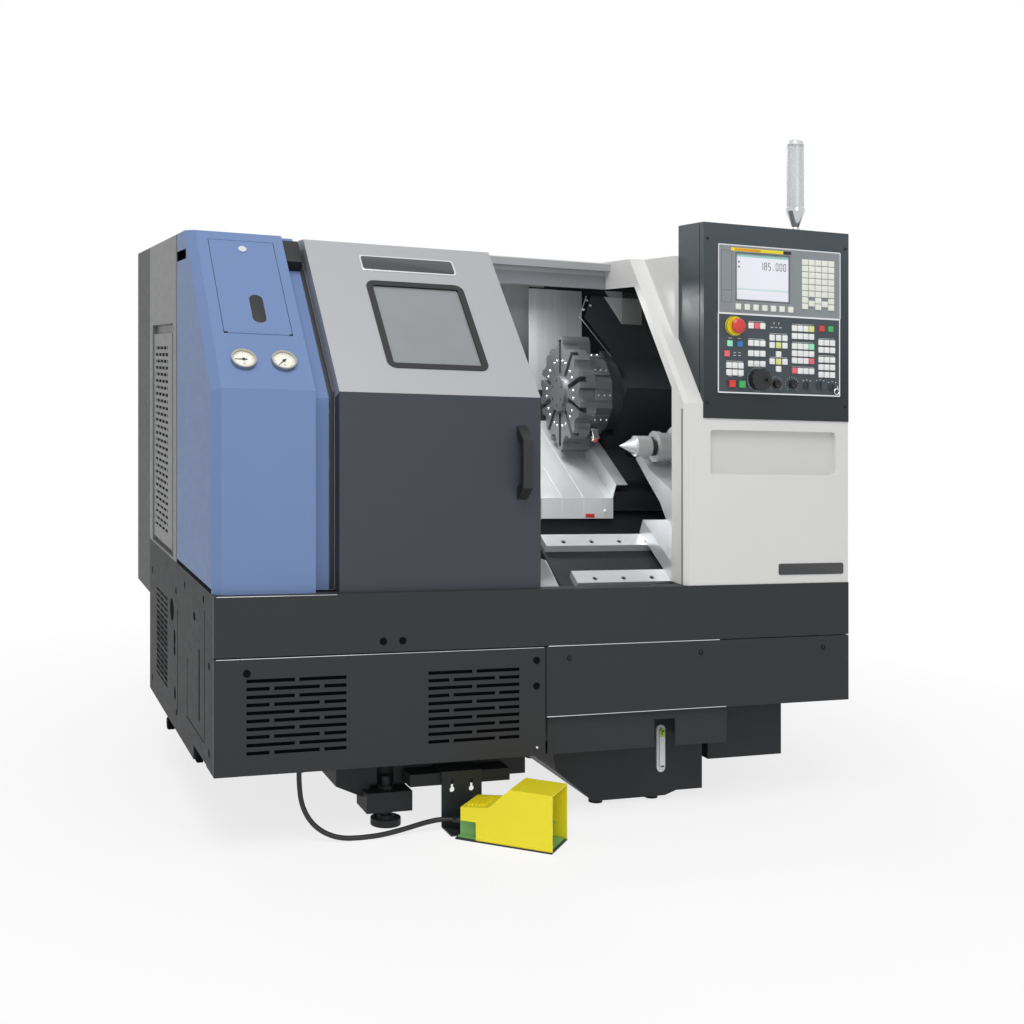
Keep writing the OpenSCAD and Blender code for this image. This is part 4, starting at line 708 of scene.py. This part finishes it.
class LATHE_OT_stage(bpy.types.Operator):
    """Pale floor, white surroundings, soft lamps and the camera"""

    bl_idname = "lathe.stage"
    bl_label = "Studio"

    def execute(self, context):
        scene = context.scene
        sizes = scene.lathe_sizes
        scene.view_settings.view_transform = "Standard"
        floor = self.floor(scene)
        self.surroundings(scene, sizes.ambient)
        middle = (0.0, 0.0, 0.9)
        self.lamp(scene, "key lamp", (-1.3, -3.2, 5.2), middle, 3.6, sizes.key_light)
        self.lamp(scene, "fill lamp", (-0.6, -5.4, 1.6), middle, 2.6, sizes.fill_light)
        inside, bed = at(1000, 668, 1480), at(1040, 560, 800)
        self.lamp(scene, "work lamp", inside, bed, 0.2, sizes.work_light)
        self.lamp(scene, "rear lamp", (-0.6, 4.6, 4.0), (0.0, 0.4, 0.9), 3.0, sizes.rear_light)
        self.camera(scene, floor)
        return {"FINISHED"}

    def floor(self, scene):
        """Level floor that shows white to the camera and keeps the shadow."""
        part = bmesh.new()
        bmesh.ops.create_grid(part, x_segments=4, y_segments=4, size=14.0)
        mesh = bpy.data.meshes.new("floor")
        part.to_mesh(mesh)
        part.free()
        flow = begin("studio floor")
        shade = flow.noise(flow.place(), scale=0.8).blend((0.86, 0.86, 0.86, 1), (0.9, 0.9, 0.9, 1))
        plain = shader(flow, Base_Color=shade, Roughness=0.8)
        glow = flow.node("ShaderNodeEmission", {"Color": (1, 1, 1, 1), "Strength": 1.0})
        x, y, _ = flow.split(flow.place())
        far = (flow.math("SQRT", x * x + y * y) * 0.75 - 1.0).clamp()
        share = flow.seen() * (far * 0.22 + 0.78)
        both = flow.node("ShaderNodeMixShader", {0: share, 1: plain, 2: glow})
        end(flow, both)
        mesh.materials.append(FINISHES["studio floor"])
        floor = bpy.data.objects.new("floor", mesh)
        scene.collection.objects.link(floor)
        return floor

    def surroundings(self, scene, ambient):
        """White to the camera, to gloss and through glass, and plain light for the rest."""
        world = bpy.data.worlds.new("studio")
        world.use_nodes = True
        world.node_tree.nodes.clear()
        flow = Flow(world.node_tree)
        level = flow.seen() * (1.0 - ambient) + ambient
        sky = flow.node("ShaderNodeBackground", {"Color": (1, 1, 1, 1), "Strength": level})
        flow.node("ShaderNodeOutputWorld", {"Surface": sky})
        scene.world = world

    def lamp(self, scene, name, spot, aim, size, power):
        """Soft square lamp aimed at a point."""
        light = bpy.data.lights.new(name, "AREA")
        light.size = size
        light.energy = power
        made = bpy.data.objects.new(name, light)
        made.location = spot
        made.rotation_euler = (Vector(aim) - Vector(spot)).to_track_quat("-Z", "Y").to_euler()
        made.visible_camera = False
        scene.collection.objects.link(made)

    def camera(self, scene, floor):
        """Camera of the photograph, whose picture keeps uprights upright while its levels lean."""
        spot, yaw, lean = at(-600.4, -3449.6, 1204.0), 0.3801, 0.0383
        lens = bpy.data.cameras.new("camera")
        lens.sensor_width = 36.0
        lens.lens = 49.683
        lens.shift_y = -0.1369
        lens.clip_end = 60.0
        eye = bpy.data.objects.new("camera", lens)
        scene.collection.objects.link(eye)
        turn = Matrix.Rotation(-yaw, 4, "Z") @ Matrix.Rotation(math.pi / 2, 4, "X")
        sheared = Matrix.Identity(4)
        sheared[1][0] = lean
        eye.parent = floor
        eye.matrix_parent_inverse = Matrix.Translation(spot) @ turn @ sheared
        scene.camera = eye


class LATHE_OT_finishes(bpy.types.Operator):
    """Paints, metals and plastics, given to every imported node"""

    bl_idname = "lathe.finishes"
    bl_label = "Finishes"

    def execute(self, context):
        make_finishes(context.scene.lathe_colours)
        bare = set(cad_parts)
        for finish, nodes in NODE_FINISH.items():
            for node in nodes:
                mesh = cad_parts[node].data
                mesh.materials.clear()
                mesh.materials.append(FINISHES[finish])
                bare.discard(node)
        if bare:
            raise RuntimeError("no finish for " + ", ".join(sorted(bare)))
        return {"FINISHED"}


class LATHE_OT_gauges(bpy.types.Operator):
    """Dial faces and scales of the two pressure gauges"""

    bl_idname = "lathe.gauges"
    bl_label = "Gauge Dials"

    def execute(self, context):
        faces, marks = Work(), Work()
        thick = 0.06
        for x in (88, 190):
            dial = on_slope(x, GAUGE_S, 6)
            faces.add(turned([(0, 0.2), (27.2, 0.2), (27.2, -0.1)], 48), dial)
            for i in range(31):
                turn = Matrix.Rotation(math.radians(135 - i * 9), 4, "Z")
                wide, long = (0.9, 5.4) if i % 5 == 0 else (0.5, 3.0)
                tick = Matrix.Translation((0, 25.2 - long / 2, 0.2))
                marks.add(slab(wide, long, thick), dial @ turn @ tick)
            marks.add(slab(7, 1.6, thick), on_slope(x, GAUGE_S - 13, 6.2))
            marks.add(slab(4, 1.2, thick), on_slope(x, GAUGE_S - 16.5, 6.2))
        faces.done("gauge_faces", "machine", "lamp", "dial cream")
        marks.done("gauge_scales", "machine", "black_plastic", "black plastic")
        return {"FINISHED"}


class LATHE_OT_cover_fittings(bpy.types.Operator):
    """Oval grip, packing block, painted highlights on cover edges, a dark strip of painted shade in
    the door gap and bare plates of the covers
    """

    bl_idname = "lathe.cover_fittings"
    bl_label = "Cover Fittings"

    def execute(self, context):
        dark = "black rubber"
        Work().add(slab(35.2, 102.2, 1.0, 17.5, 0.4), on_slope(151, 283, -1.45)).done(
            "grip_inlay", "access_leaf", "seal", dark)
        Work().add(slab(46, 84, 36, 3, 1.5), on_slope(282.5, 529, -47.7)).done(
            "packing_block", "machine", "seal", dark)
        # Thin chrome strips along the covers' folded edges: painted highlights where the edges
        # catch the light.
        edge_highlights = Work()
        for x, z, w, h in ((1142, 478.6, 520, 1.7), (1150, 291.2, 545, 1.7), (437, 476.1, 864, 1.3),
                           (156, 629, 300, 1.3)):
            edge_highlights.add(slab(w, h, 0.8, 0, 0.3), on_front(x, z, 0))
        edge_highlights.done("fold_edge_highlights", "machine", "steel", "chromed")
        # Dark grey strips at the left edge of the door frame: painted shade of the door's side in
        # the gap.
        gap_shade = Work()
        gap_shade.add(slab(11, 504, 1.2, 0, 0.3), on_front(311.8, 884, 73))
        gap_shade.add(slab(11, 560, 1.2, 0, 0.3), on_slope(311.8, 300, -53))
        gap_shade.done("door_gap_shade_strip", "machine", "grey_paint", "grey coat")
        badge = Work().add(slab(278, 62, 2.2, 10, 0.8), on_slope(604, 487, 0))
        badge.add(slab(268, 52, 0.5, 8, 0.2), on_slope(604, 487, 2.2), 1)
        badge.done("door_plate", "front_door", "black_plastic", "chromed", "bare badge")
        Work().add(slab(218, 32, 2.0, 6, 0.7), on_front(1704, 671, 3)).done(
            "cover_plate", "machine", "black_plastic", "bare badge")
        return {"FINISHED"}


class LATHE_OT_screws(bpy.types.Operator):
    """Screws and plugs on the covers, the base and the control box"""

    bl_idname = "lathe.screws"
    bl_label = "Screws and Plugs"

    def execute(self, context):
        plugs, heads, bright = Work(), Work(), Work()
        for x, z in ((427, 508), (478, 508), (80, 441), (848, 443), (848, 375)):
            plugs.add(dome_plug(19, 3), on_front(x, z, 0))
        for x in (943, 1343, 1743):
            heads.add(screw_head(13, 5), on_front(x, 445, 0))
        for x in (1363, 1818):
            for z in (1597, 1139):
                heads.add(screw_head(8, 3), on_front(x, z, 0))
        bright.add(screw_head(9, 4), on_front(848, 213, 0))
        plugs.done("cover_plugs", "machine", "black_plastic", "black mat")
        heads.done("cover_screws", "machine", "dark_steel", "blackened steel")
        bright.done("bright_screw", "machine", "steel", "chromed")
        return {"FINISHED"}


class LATHE_OT_side_details(bpy.types.Operator):
    """Black sheets of painted shade behind the louvres, drain plugs and the float of the level
    gauge
    """

    bl_idname = "lathe.side_details"
    bl_label = "Side Details"

    def execute(self, context):
        plugs = Work()
        knob = turned([(0, 28), (16, 28), (19, 25), (19, 8), (12, 6), (12, 0)], 24)
        plugs.add(knob, on_left(795, 130, 30))
        plugs.add(slab(52, 37, 16.4, 5, 2), on_left(280, 176.5, 17))
        plugs.done("drain_plugs", "machine", "black_plastic", "black mat")
        float_ring = Work().add(slab(17, 24, 2.2, 7, 0.9), on_front(1283, 196, 115))
        float_ring.add(slab(8, 3, 0.5, 1), on_front(1283, 201, 112.8), 1)
        float_ring.add(slab(3, 8, 0.5, 1), on_front(1280.5, 195, 112.8), 1)
        float_ring.add(slab(10, 4, 1.2, 1.5), on_front(1283, 101, 115), 1)
        float_ring.done("level_float", "machine", "green", "level green", "black plastic")
        # Black sheets just behind the louvres and vents, so that the openings read dark: painted
        # shade.
        louvre_shades = Work()
        for x in (205, 673):
            louvre_shades.add(slab(272, 206, 3), on_front(x, 333, 12))
        louvre_shades.add(slab(250, 205, 3), on_left(897, 340, 10))
        louvre_shades.add(slab(290, 640, 3), on_left(880, 980, 26))
        louvre_shades.done("louvre_shade_mats", "machine", "seal", "black mat")
        return {"FINISHED"}


class LATHE_OT_display(bpy.types.Operator):
    """Lit screen with a plain read-out, keys, bare strip, rims and card door"""

    bl_idname = "lathe.display"
    bl_label = "Display"

    def execute(self, context):
        Work().add(slab(169.4, 126.4, 0.8), on_front(1536, 1495.5, SCREEN_Y)).done(
            "screen", "machine", "clear_plastic", "lit screen")
        digits = Work()
        for i, mark in enumerate("185.000"):
            self.digit(digits, mark, 1533 + i * 12.6, 1529)
        for i in range(2):
            digits.add(slab(5, 5, 0.1, 1), on_front(1459, 1537 - i * 14, SCREEN_Y - 0.8))
        digits.done("screen_digits", "machine", "black_plastic", "screen ink")
        caps = Work()
        for i in range(7):
            caps.add(slab(16.6, 16.6, 3.5, 1.5, 0.8), on_front(1455 + i * 28.5, 1411, DISPLAY_Y))
        spots = [(col, row) for col in range(5) for row in range(2, 8)]
        spots += [(0, 0), (0, 1), (4, 0), (4, 1), (2, 0), (2, 1), (1, 0.5), (3, 0.5)]
        for col, row in spots:
            caps.add(slab(19.4, 16.2, 3.4, 1.2, 0.7),
                     on_front(1674 + col * 22, 1423 + row * 18, DISPLAY_Y))
        caps.done("display_keys", "machine", "clear_plastic", "cream cap")
        strip = Work().add(slab(196, 9, 0.7, 1.5, 0.2), on_front(1530, 1571, DISPLAY_Y))
        strip.add(slab(84, 6, 0.3, 1, 0.1), on_front(1486, 1571, DISPLAY_Y - 0.7), 1)
        strip.add(slab(26, 9, 0.4, 1, 0.1), on_front(1615, 1571, DISPLAY_Y - 0.7), 2)
        strip.done("display_strip", "machine", "pedal_yellow", "yellow collar", "orange band",
                   "black plastic")
        rim = Work()
        rim.add(frame_of(404, 194, 10.3, 3.0, 3), on_front(1593, 1487, 0))
        rim.add(frame_of(404, 224, 8.4, 3.6, 3), on_front(1593, 1280, 0))
        rim.done("panel_rims", "machine", "chrome", "chromed")
        lines = Work().add(frame_of(34, 146, 0.25, 0.9, 2), on_front(1418, 1494, DISPLAY_Y))
        lines.add(slab(34, 0.9, 0.25), on_front(1418, 1456, DISPLAY_Y))
        lines.add(frame_of(178, 136, 0.3, 2.6, 2), on_front(1536, 1495.5, DISPLAY_Y))
        lines.done("card_door", "machine", "bezel", "bezel dark")
        return {"FINISHED"}

    def digit(self, work, mark, x, z):
        """Seven-bar figure on the screen."""
        bars = {"0": "abcdef", "1": "bc", "5": "afgcd", "8": "abcdefg", ".": "."}[mark]
        shape = {"a": (0, 10, 6, 2), "g": (0, 0, 6, 2), "d": (0, -10, 6, 2), "b": (3.4, 5, 2, 9),
                 "c": (3.4, -5, 2, 9), "f": (-3.4, 5, 2, 9), "e": (-3.4, -5, 2, 9),
                 ".": (0, -9, 2.6, 2.6)}
        for name in bars:
            dx, dz, w, h = shape[name]
            work.add(slab(w, h, 0.1), on_front(x + dx, z + dz, SCREEN_Y - 0.8))


# Groups of keys: first key's place, columns, rows and the two pitches.
KEY_GROUPS = [
    (104, 190, 3, 1, 19, 20), (103, 83, 3, 3, 19.5, 29), (173, 138, 3, 2, 21, 21),
    (173, 92, 3, 1, 21, 21), (194, 71, 1, 2, 21, 42), (247, 167, 4, 2, 19, 22),
    (247, 97, 4, 3, 19, 20.5), (247, 68, 4, 1, 19, 20),
    (336, 131, 3, 2, 19.5, 21), (336, 60, 3, 3, 19.5, 21.5), (33, 56, 3, 2, 19, 20),
    (36, 137, 2, 1, 32, 20), (339, 192, 2, 1, 30, 20), (27, 108, 1, 1, 19, 20),
]
# Keys that aren't white, by group, column and row.
KEY_TINTS = {
    (0, 1, 0): "rose cap", (2, 1, 0): "lime cap", (3, 1, 0): "lime cap", (5, 3, 1): "lime cap",
    (6, 3, 2): "mint cap", (6, 3, 0): "rose cap", (7, 0, 0): "rose cap", (11, 0, 0): "mint cap",
    (11, 1, 0): "blue cap", (12, 0, 0): "red cap", (12, 1, 0): "green cap", (13, 0, 0): "rose cap",
}
# Dials: place, radius of the scale, ticks and the angle left free on each side of the foot.
DIALS = [(126, 39, 33.5, 40, 0), (186, 28, 20.5, 15, 45), (239, 29, 20.5, 13, 45)]
RULES = [
    (173, 188, 8, 1.6), (187, 188, 6, 1.6), (201, 188, 8, 1.6), (180, 200, 1.6, 6),
    (196, 200, 1.6, 6), (52, 112, 8, 1.2), (68, 112, 8, 1.2), (52, 104, 8, 1.2),
    (68, 104, 8, 1.2), (38, 46, 14, 1.2), (70, 46, 14, 1.2), (38, 152, 12, 1.2),
    (68, 152, 12, 1.2),
]


class LATHE_OT_keys(bpy.types.Operator):
    """Caps of the panel keys, the stop button's collar, the switch key and the scales"""

    bl_idname = "lathe.keys"
    bl_label = "Panel Keys"

    def execute(self, context):
        side = context.scene.lathe_sizes.key / MM
        caps = {}
        for g, (x, z, cols, rows, px, pz) in enumerate(KEY_GROUPS):
            for col in range(cols):
                for row in range(rows):
                    tone = KEY_TINTS.get((g, col, row), "white cap")
                    caps.setdefault(tone, Work()).add(
                        slab(side, side, 3.5, 1.6, 0.9), on_panel(x + col * px, z + row * pz))
        for tone, work in caps.items():
            work.done("keys_" + tone.split()[0], "machine", "clear_plastic", tone)
        collar = turned([(12, 8.1), (26.5, 8.1), (28.4, 6.6), (28.4, 0)], 40)
        Work().add(collar, on_panel(50, 186)).done(
            "stop_collar", "machine", "pedal_yellow", "yellow collar")
        key = Work().add(slab(2.6, 10, 13, 0.8, 0.5), on_front(1768, 1194, -21.8))
        key.add(turned([(7, 0), (8, 1), (9, 0), (8, -1), (7, 0)], 28), on_front(1768, 1183, -31))
        key.done("switch_key", "machine", "chrome", "chromed")
        self.scales()
        return {"FINISHED"}

    def scales(self):
        """Ticks round the dials and rules over the groups of keys."""
        ink = Work()
        for x, z, r, count, free in DIALS:
            pitch = (360 - 2 * free) / (count - 1 if free else count)
            for i in range(count):
                angle = math.radians(free + i * pitch - 180)
                turn = Matrix.Rotation(-angle, 4, "Z") @ Matrix.Translation((0, r, 0))
                ink.add(slab(0.8, 3.2, INK), on_panel(x, z, 2.0 if r > 30 else 0) @ turn)
        for x, z, cols, rows, px, pz in KEY_GROUPS:
            wide, high = (cols - 1) * px, (rows - 1) * pz
            if cols > 2:
                ink.add(slab(wide + 14, 0.9, INK), on_panel(x + wide / 2, z + high + 11.5))
        for x, z in ((289, 26), (334, 28), (375, 24)):
            for dx in (-12, 0, 12):
                ink.add(slab(2.6, 2.6, INK, 0.8), on_panel(x + dx, z + 17 - abs(dx) * 0.2))
        for x, z, w, h in RULES:
            ink.add(slab(w, h, INK), on_panel(x, z))
        ink.done("panel_marks", "machine", "clear_plastic", "white cap")


class LATHE_OT_work_area(bpy.types.Operator):
    """Steps and mark of the saddle cover, rail bolts, liner panels and chute sheet"""

    bl_idname = "lathe.work_area"
    bl_label = "Work Area"

    def execute(self, context):
        bright = "bright sheet"
        steps = Work()
        for x in (1160, 1234):
            steps.add(slab(2.4, 440, 1.4, 0, 0.5), on_slant(x, 215, COVER_TOP))
            steps.add(slab(2.4, 62, 1.4, 0, 0.5), on_front(x, 789, COVER_FRONT))
        steps.add(slab(1.6, 430, 1.2, 0, 0.4), on_slant(1311, 215, COVER_TOP))
        steps.add(screw_head(12, 5), on_front(1307, 780, COVER_FRONT))
        steps.done("cover_steps", "carriage", "stainless", bright)
        Work().add(slab(30, 12, 2, 2, 0.6), on_front(1254, 766, COVER_FRONT)).done(
            "travel_mark", "carriage", "red", "red cap")
        bolts = Work()
        for t, first in ((-256, 1064), (-426, 1096)):
            for i in range(context.scene.lathe_sizes.rail_bolts):
                bolts.add(screw_head(12.5, 6), on_slant(first + i * 90, t, -177.9))
        bolts.done("rail_bolts", "machine", "dark_steel", "blackened steel")
        panel = Work().add(slab(197, 346, 3, 0, 0.8), on_front(1341.5, 1319, LINER_Y))
        panel.add(slab(201, 5, 4.5, 0, 0.8), on_front(1343.5, 1494, LINER_Y), 1)
        panel.done("liner_panel", "machine", "stainless", "streaked sheet", "black rubber")
        sheet = cut(slab(196, 92, 2, 0, 0.6), (-60, 46, 0), (0.55, 0.83, 0))
        Work().add(sheet, on_left(222, 620, 996)).done(
            "chute_sheet", "machine", "stainless", bright)
        gusset = cut(slab(68, 78, 3, 0, 0.6), (0, 0, 0), (-0.75, -0.66, 0))
        corner = Work().add(gusset, on_front(1561, 1460, LINER_Y), 1)
        corner.add(slab(175, 112, 2, 0, 0.6), on_front(1683, 1441, LINER_Y))
        corner.add(slab(3, 112, 3.2, 0, 0.8), on_front(1596, 1441, LINER_Y), 1)
        corner.done("liner_corner", "machine", "grey_paint", "cabinet coat", bright)
        return {"FINISHED"}


class LATHE_OT_turret(bpy.types.Operator):
    """Dark sheets of painted shade at the bottom of the tool slot grooves, blocks and a tool on the
    turret, edge of the splash plate, the centre's ring
    """

    bl_idname = "lathe.turret"
    bl_label = "Turret Tooling"

    def execute(self, context):
        stations, axis = 10, at(0, 711.5, 1141)
        along = Vector((1, 0, 0))
        drum = 0.132 * math.cos(math.pi / stations)
        slot_shades, blocks, bolts, tool = Work(), Work(), Work(), Work()
        face = axis + along * 1.228
        for i in range(stations):
            out, across = self.ray(math.tau * i / stations)
            groove = face + out * 0.111 + along * 0.0238
            # Dark sheet at the bottom of each tool slot: painted shade.
            slot_shades.add(slab(16.4, 92, 1.5, 0, 0.4), seat(groove, across, out))
            for side in (-0.021, 0.021):
                bolts.add(screw_head(9, 3), seat(face + out * 0.104 + across * side, across, out))
            out, across = self.ray(math.tau * (i + 0.5) / stations)
            flat = axis + out * drum
            blocks.add(slab(60, 34, 7, 3, 1.5), seat(flat + along * 1.321, along, -across))
            for x in (1.301, 1.321, 1.341):
                top = flat + out * 0.007 + along * x
                bolts.add(screw_head(8, 4), seat(top, along, -across))
        out, across = self.ray(math.tau * (stations - 1) / stations)
        foot = axis + out * 0.124 + along * 1.306
        tool.add(slab(22, 20, 52, 2, 3), seat(foot, along, -across))
        tool.add(slab(12, 14, 8, 2, 1.5), seat(foot + out * 0.05, along, -across), 1)
        slot_shades.done("tool_slot_shades", "turret", "dark_steel", "black plastic")
        blocks.done("tool_blocks", "turret", "dark_steel", "turret steel")
        bolts.done("turret_bolts", "turret", "steel", "chromed")
        tool.done("turning_tool", "turret", "steel", "chromed", "red cap")
        corners = [(1334, 1460), (1310, 1392), (1445, 1241), (1618, 1191)]
        edge = Work().add(bar([(x, 739.4, z) for x, z in corners], 1.9), on_top(0, 0, 0))
        for x, z in ((1336, 1446), (1325, 1416), (1348, 1430), (1470, 1252)):
            edge.add(screw_head(9, 4), on_front(x, z, SPLASH_Y))
        edge.done("splash_edge", "cross_slide", "stainless", "chromed")
        gusset = cut(slab(64, 86, 2, 0, 0.6), (0, 0, 0), (-0.8, -0.6, 0))
        flap = Work().add(gusset, on_front(1430, 1418, SPLASH_Y))
        flap.add(slab(74, 86, 1.6, 0, 0.5), on_front(1499, 1418, SPLASH_Y), 1)
        flap.done("splash_corner", "cross_slide", "stainless", "bright sheet", "grey coat")
        ring = turned([(24, 0.3), (28.4, 0.3), (29, 1.2), (29, 14), (27.6, 16), (24, 16),
                       (24, 0.3)], 40)
        Work().add(ring, on_left(SPINDLE_Y, SPINDLE_Z, 1430)).done(
            "centre_ring", "centre_point", "black_plastic", "black plastic")
        return {"FINISHED"}

    def ray(self, turn):
        """Way out from the turret's axis, and the way across it in the disc's face."""
        out = Vector((0, math.sin(turn), -math.cos(turn)))
        return out, Vector((0, -out.z, out.y))


class LATHE_OT_rear(bpy.types.Operator):
    """Service panels with louvres and screws at the back, latch of the cabinet door"""

    bl_idname = "lathe.rear"
    bl_label = "Rear Fittings"

    def execute(self, context):
        panel, heads, latch = Work(), Work(), Work()
        thick = 2.5
        for x, z, w, h in ((1563, 1110, 430, 760), (1126, 1130, 250, 620)):
            panel.add(slab(w, h, thick, 10, 0.9), on_back(x, z, BACK_Y))
            for i in (-1, 0, 1):
                for side in (-1, 1):
                    spot = x + side * (w / 2 - 16), z + i * (h / 2 - 18)
                    heads.add(screw_head(11, 4), on_back(*spot, BACK_Y + thick))
        for i in range(9):
            panel.add(slab(300, 16, 9, 3, 6), on_back(1563, 830 + i * 26, BACK_Y + thick))
        x, floor = 880, LEAF_Y + 1.5
        latch.add(slab(44, 124, 1.5, 2), on_back(x, 1060, LEAF_Y))
        latch.add(frame_of(44, 124, 10, 2, 2), on_back(x, 1060, floor))
        latch.add(slab(18, 92, 8, 6, 2.5), on_back(x, 1048, floor), 1)
        barrel = turned([(0, 7), (5, 7), (5.6, 8), (8, 8), (9, 7), (9, 0)], 24)
        latch.add(barrel, on_back(x, 1107, floor), 1)
        panel.done("rear_panels", "machine", "white_paint", "white coat")
        heads.done("rear_screws", "machine", "steel", "nickel")
        latch.done("cabinet_latch", "cabinet_leaf", "black_plastic", "black plastic", "chromed")
        return {"FINISHED"}


PIECES = [
    LATHE_OT_finishes, LATHE_OT_cable, LATHE_OT_stage, LATHE_OT_gauges, LATHE_OT_cover_fittings,
    LATHE_OT_screws, LATHE_OT_side_details, LATHE_OT_display, LATHE_OT_keys, LATHE_OT_work_area,
    LATHE_OT_turret, LATHE_OT_rear,
]


class LATHE_PT_dressing(bpy.types.Panel):
    """Sidebar list of the lathe's pieces"""

    bl_idname = "LATHE_PT_dressing"
    bl_label = "Turning Lathe"
    bl_space_type = "VIEW_3D"
    bl_region_type = "UI"
    bl_category = "Lathe"

    def draw(self, context):
        for group in (context.scene.lathe_colours, context.scene.lathe_sizes):
            for name in group.__annotations__:
                self.layout.prop(group, name)
        for piece in PIECES:
            self.layout.operator(piece.bl_idname)


CLASSES = [LatheColours, LatheSizes, *PIECES, LATHE_PT_dressing]


def register():
    for item in CLASSES:
        bpy.utils.register_class(item)
    bpy.types.Scene.lathe_colours = PointerProperty(type=LatheColours)
    bpy.types.Scene.lathe_sizes = PointerProperty(type=LatheSizes)


def unregister():
    del bpy.types.Scene.lathe_sizes
    del bpy.types.Scene.lathe_colours
    for item in reversed(CLASSES):
        bpy.utils.unregister_class(item)


def main():
    register()
    for piece in PIECES:
        getattr(bpy.ops.lathe, piece.bl_idname.split(".")[1])()


if __name__ == "__main__":
    main()
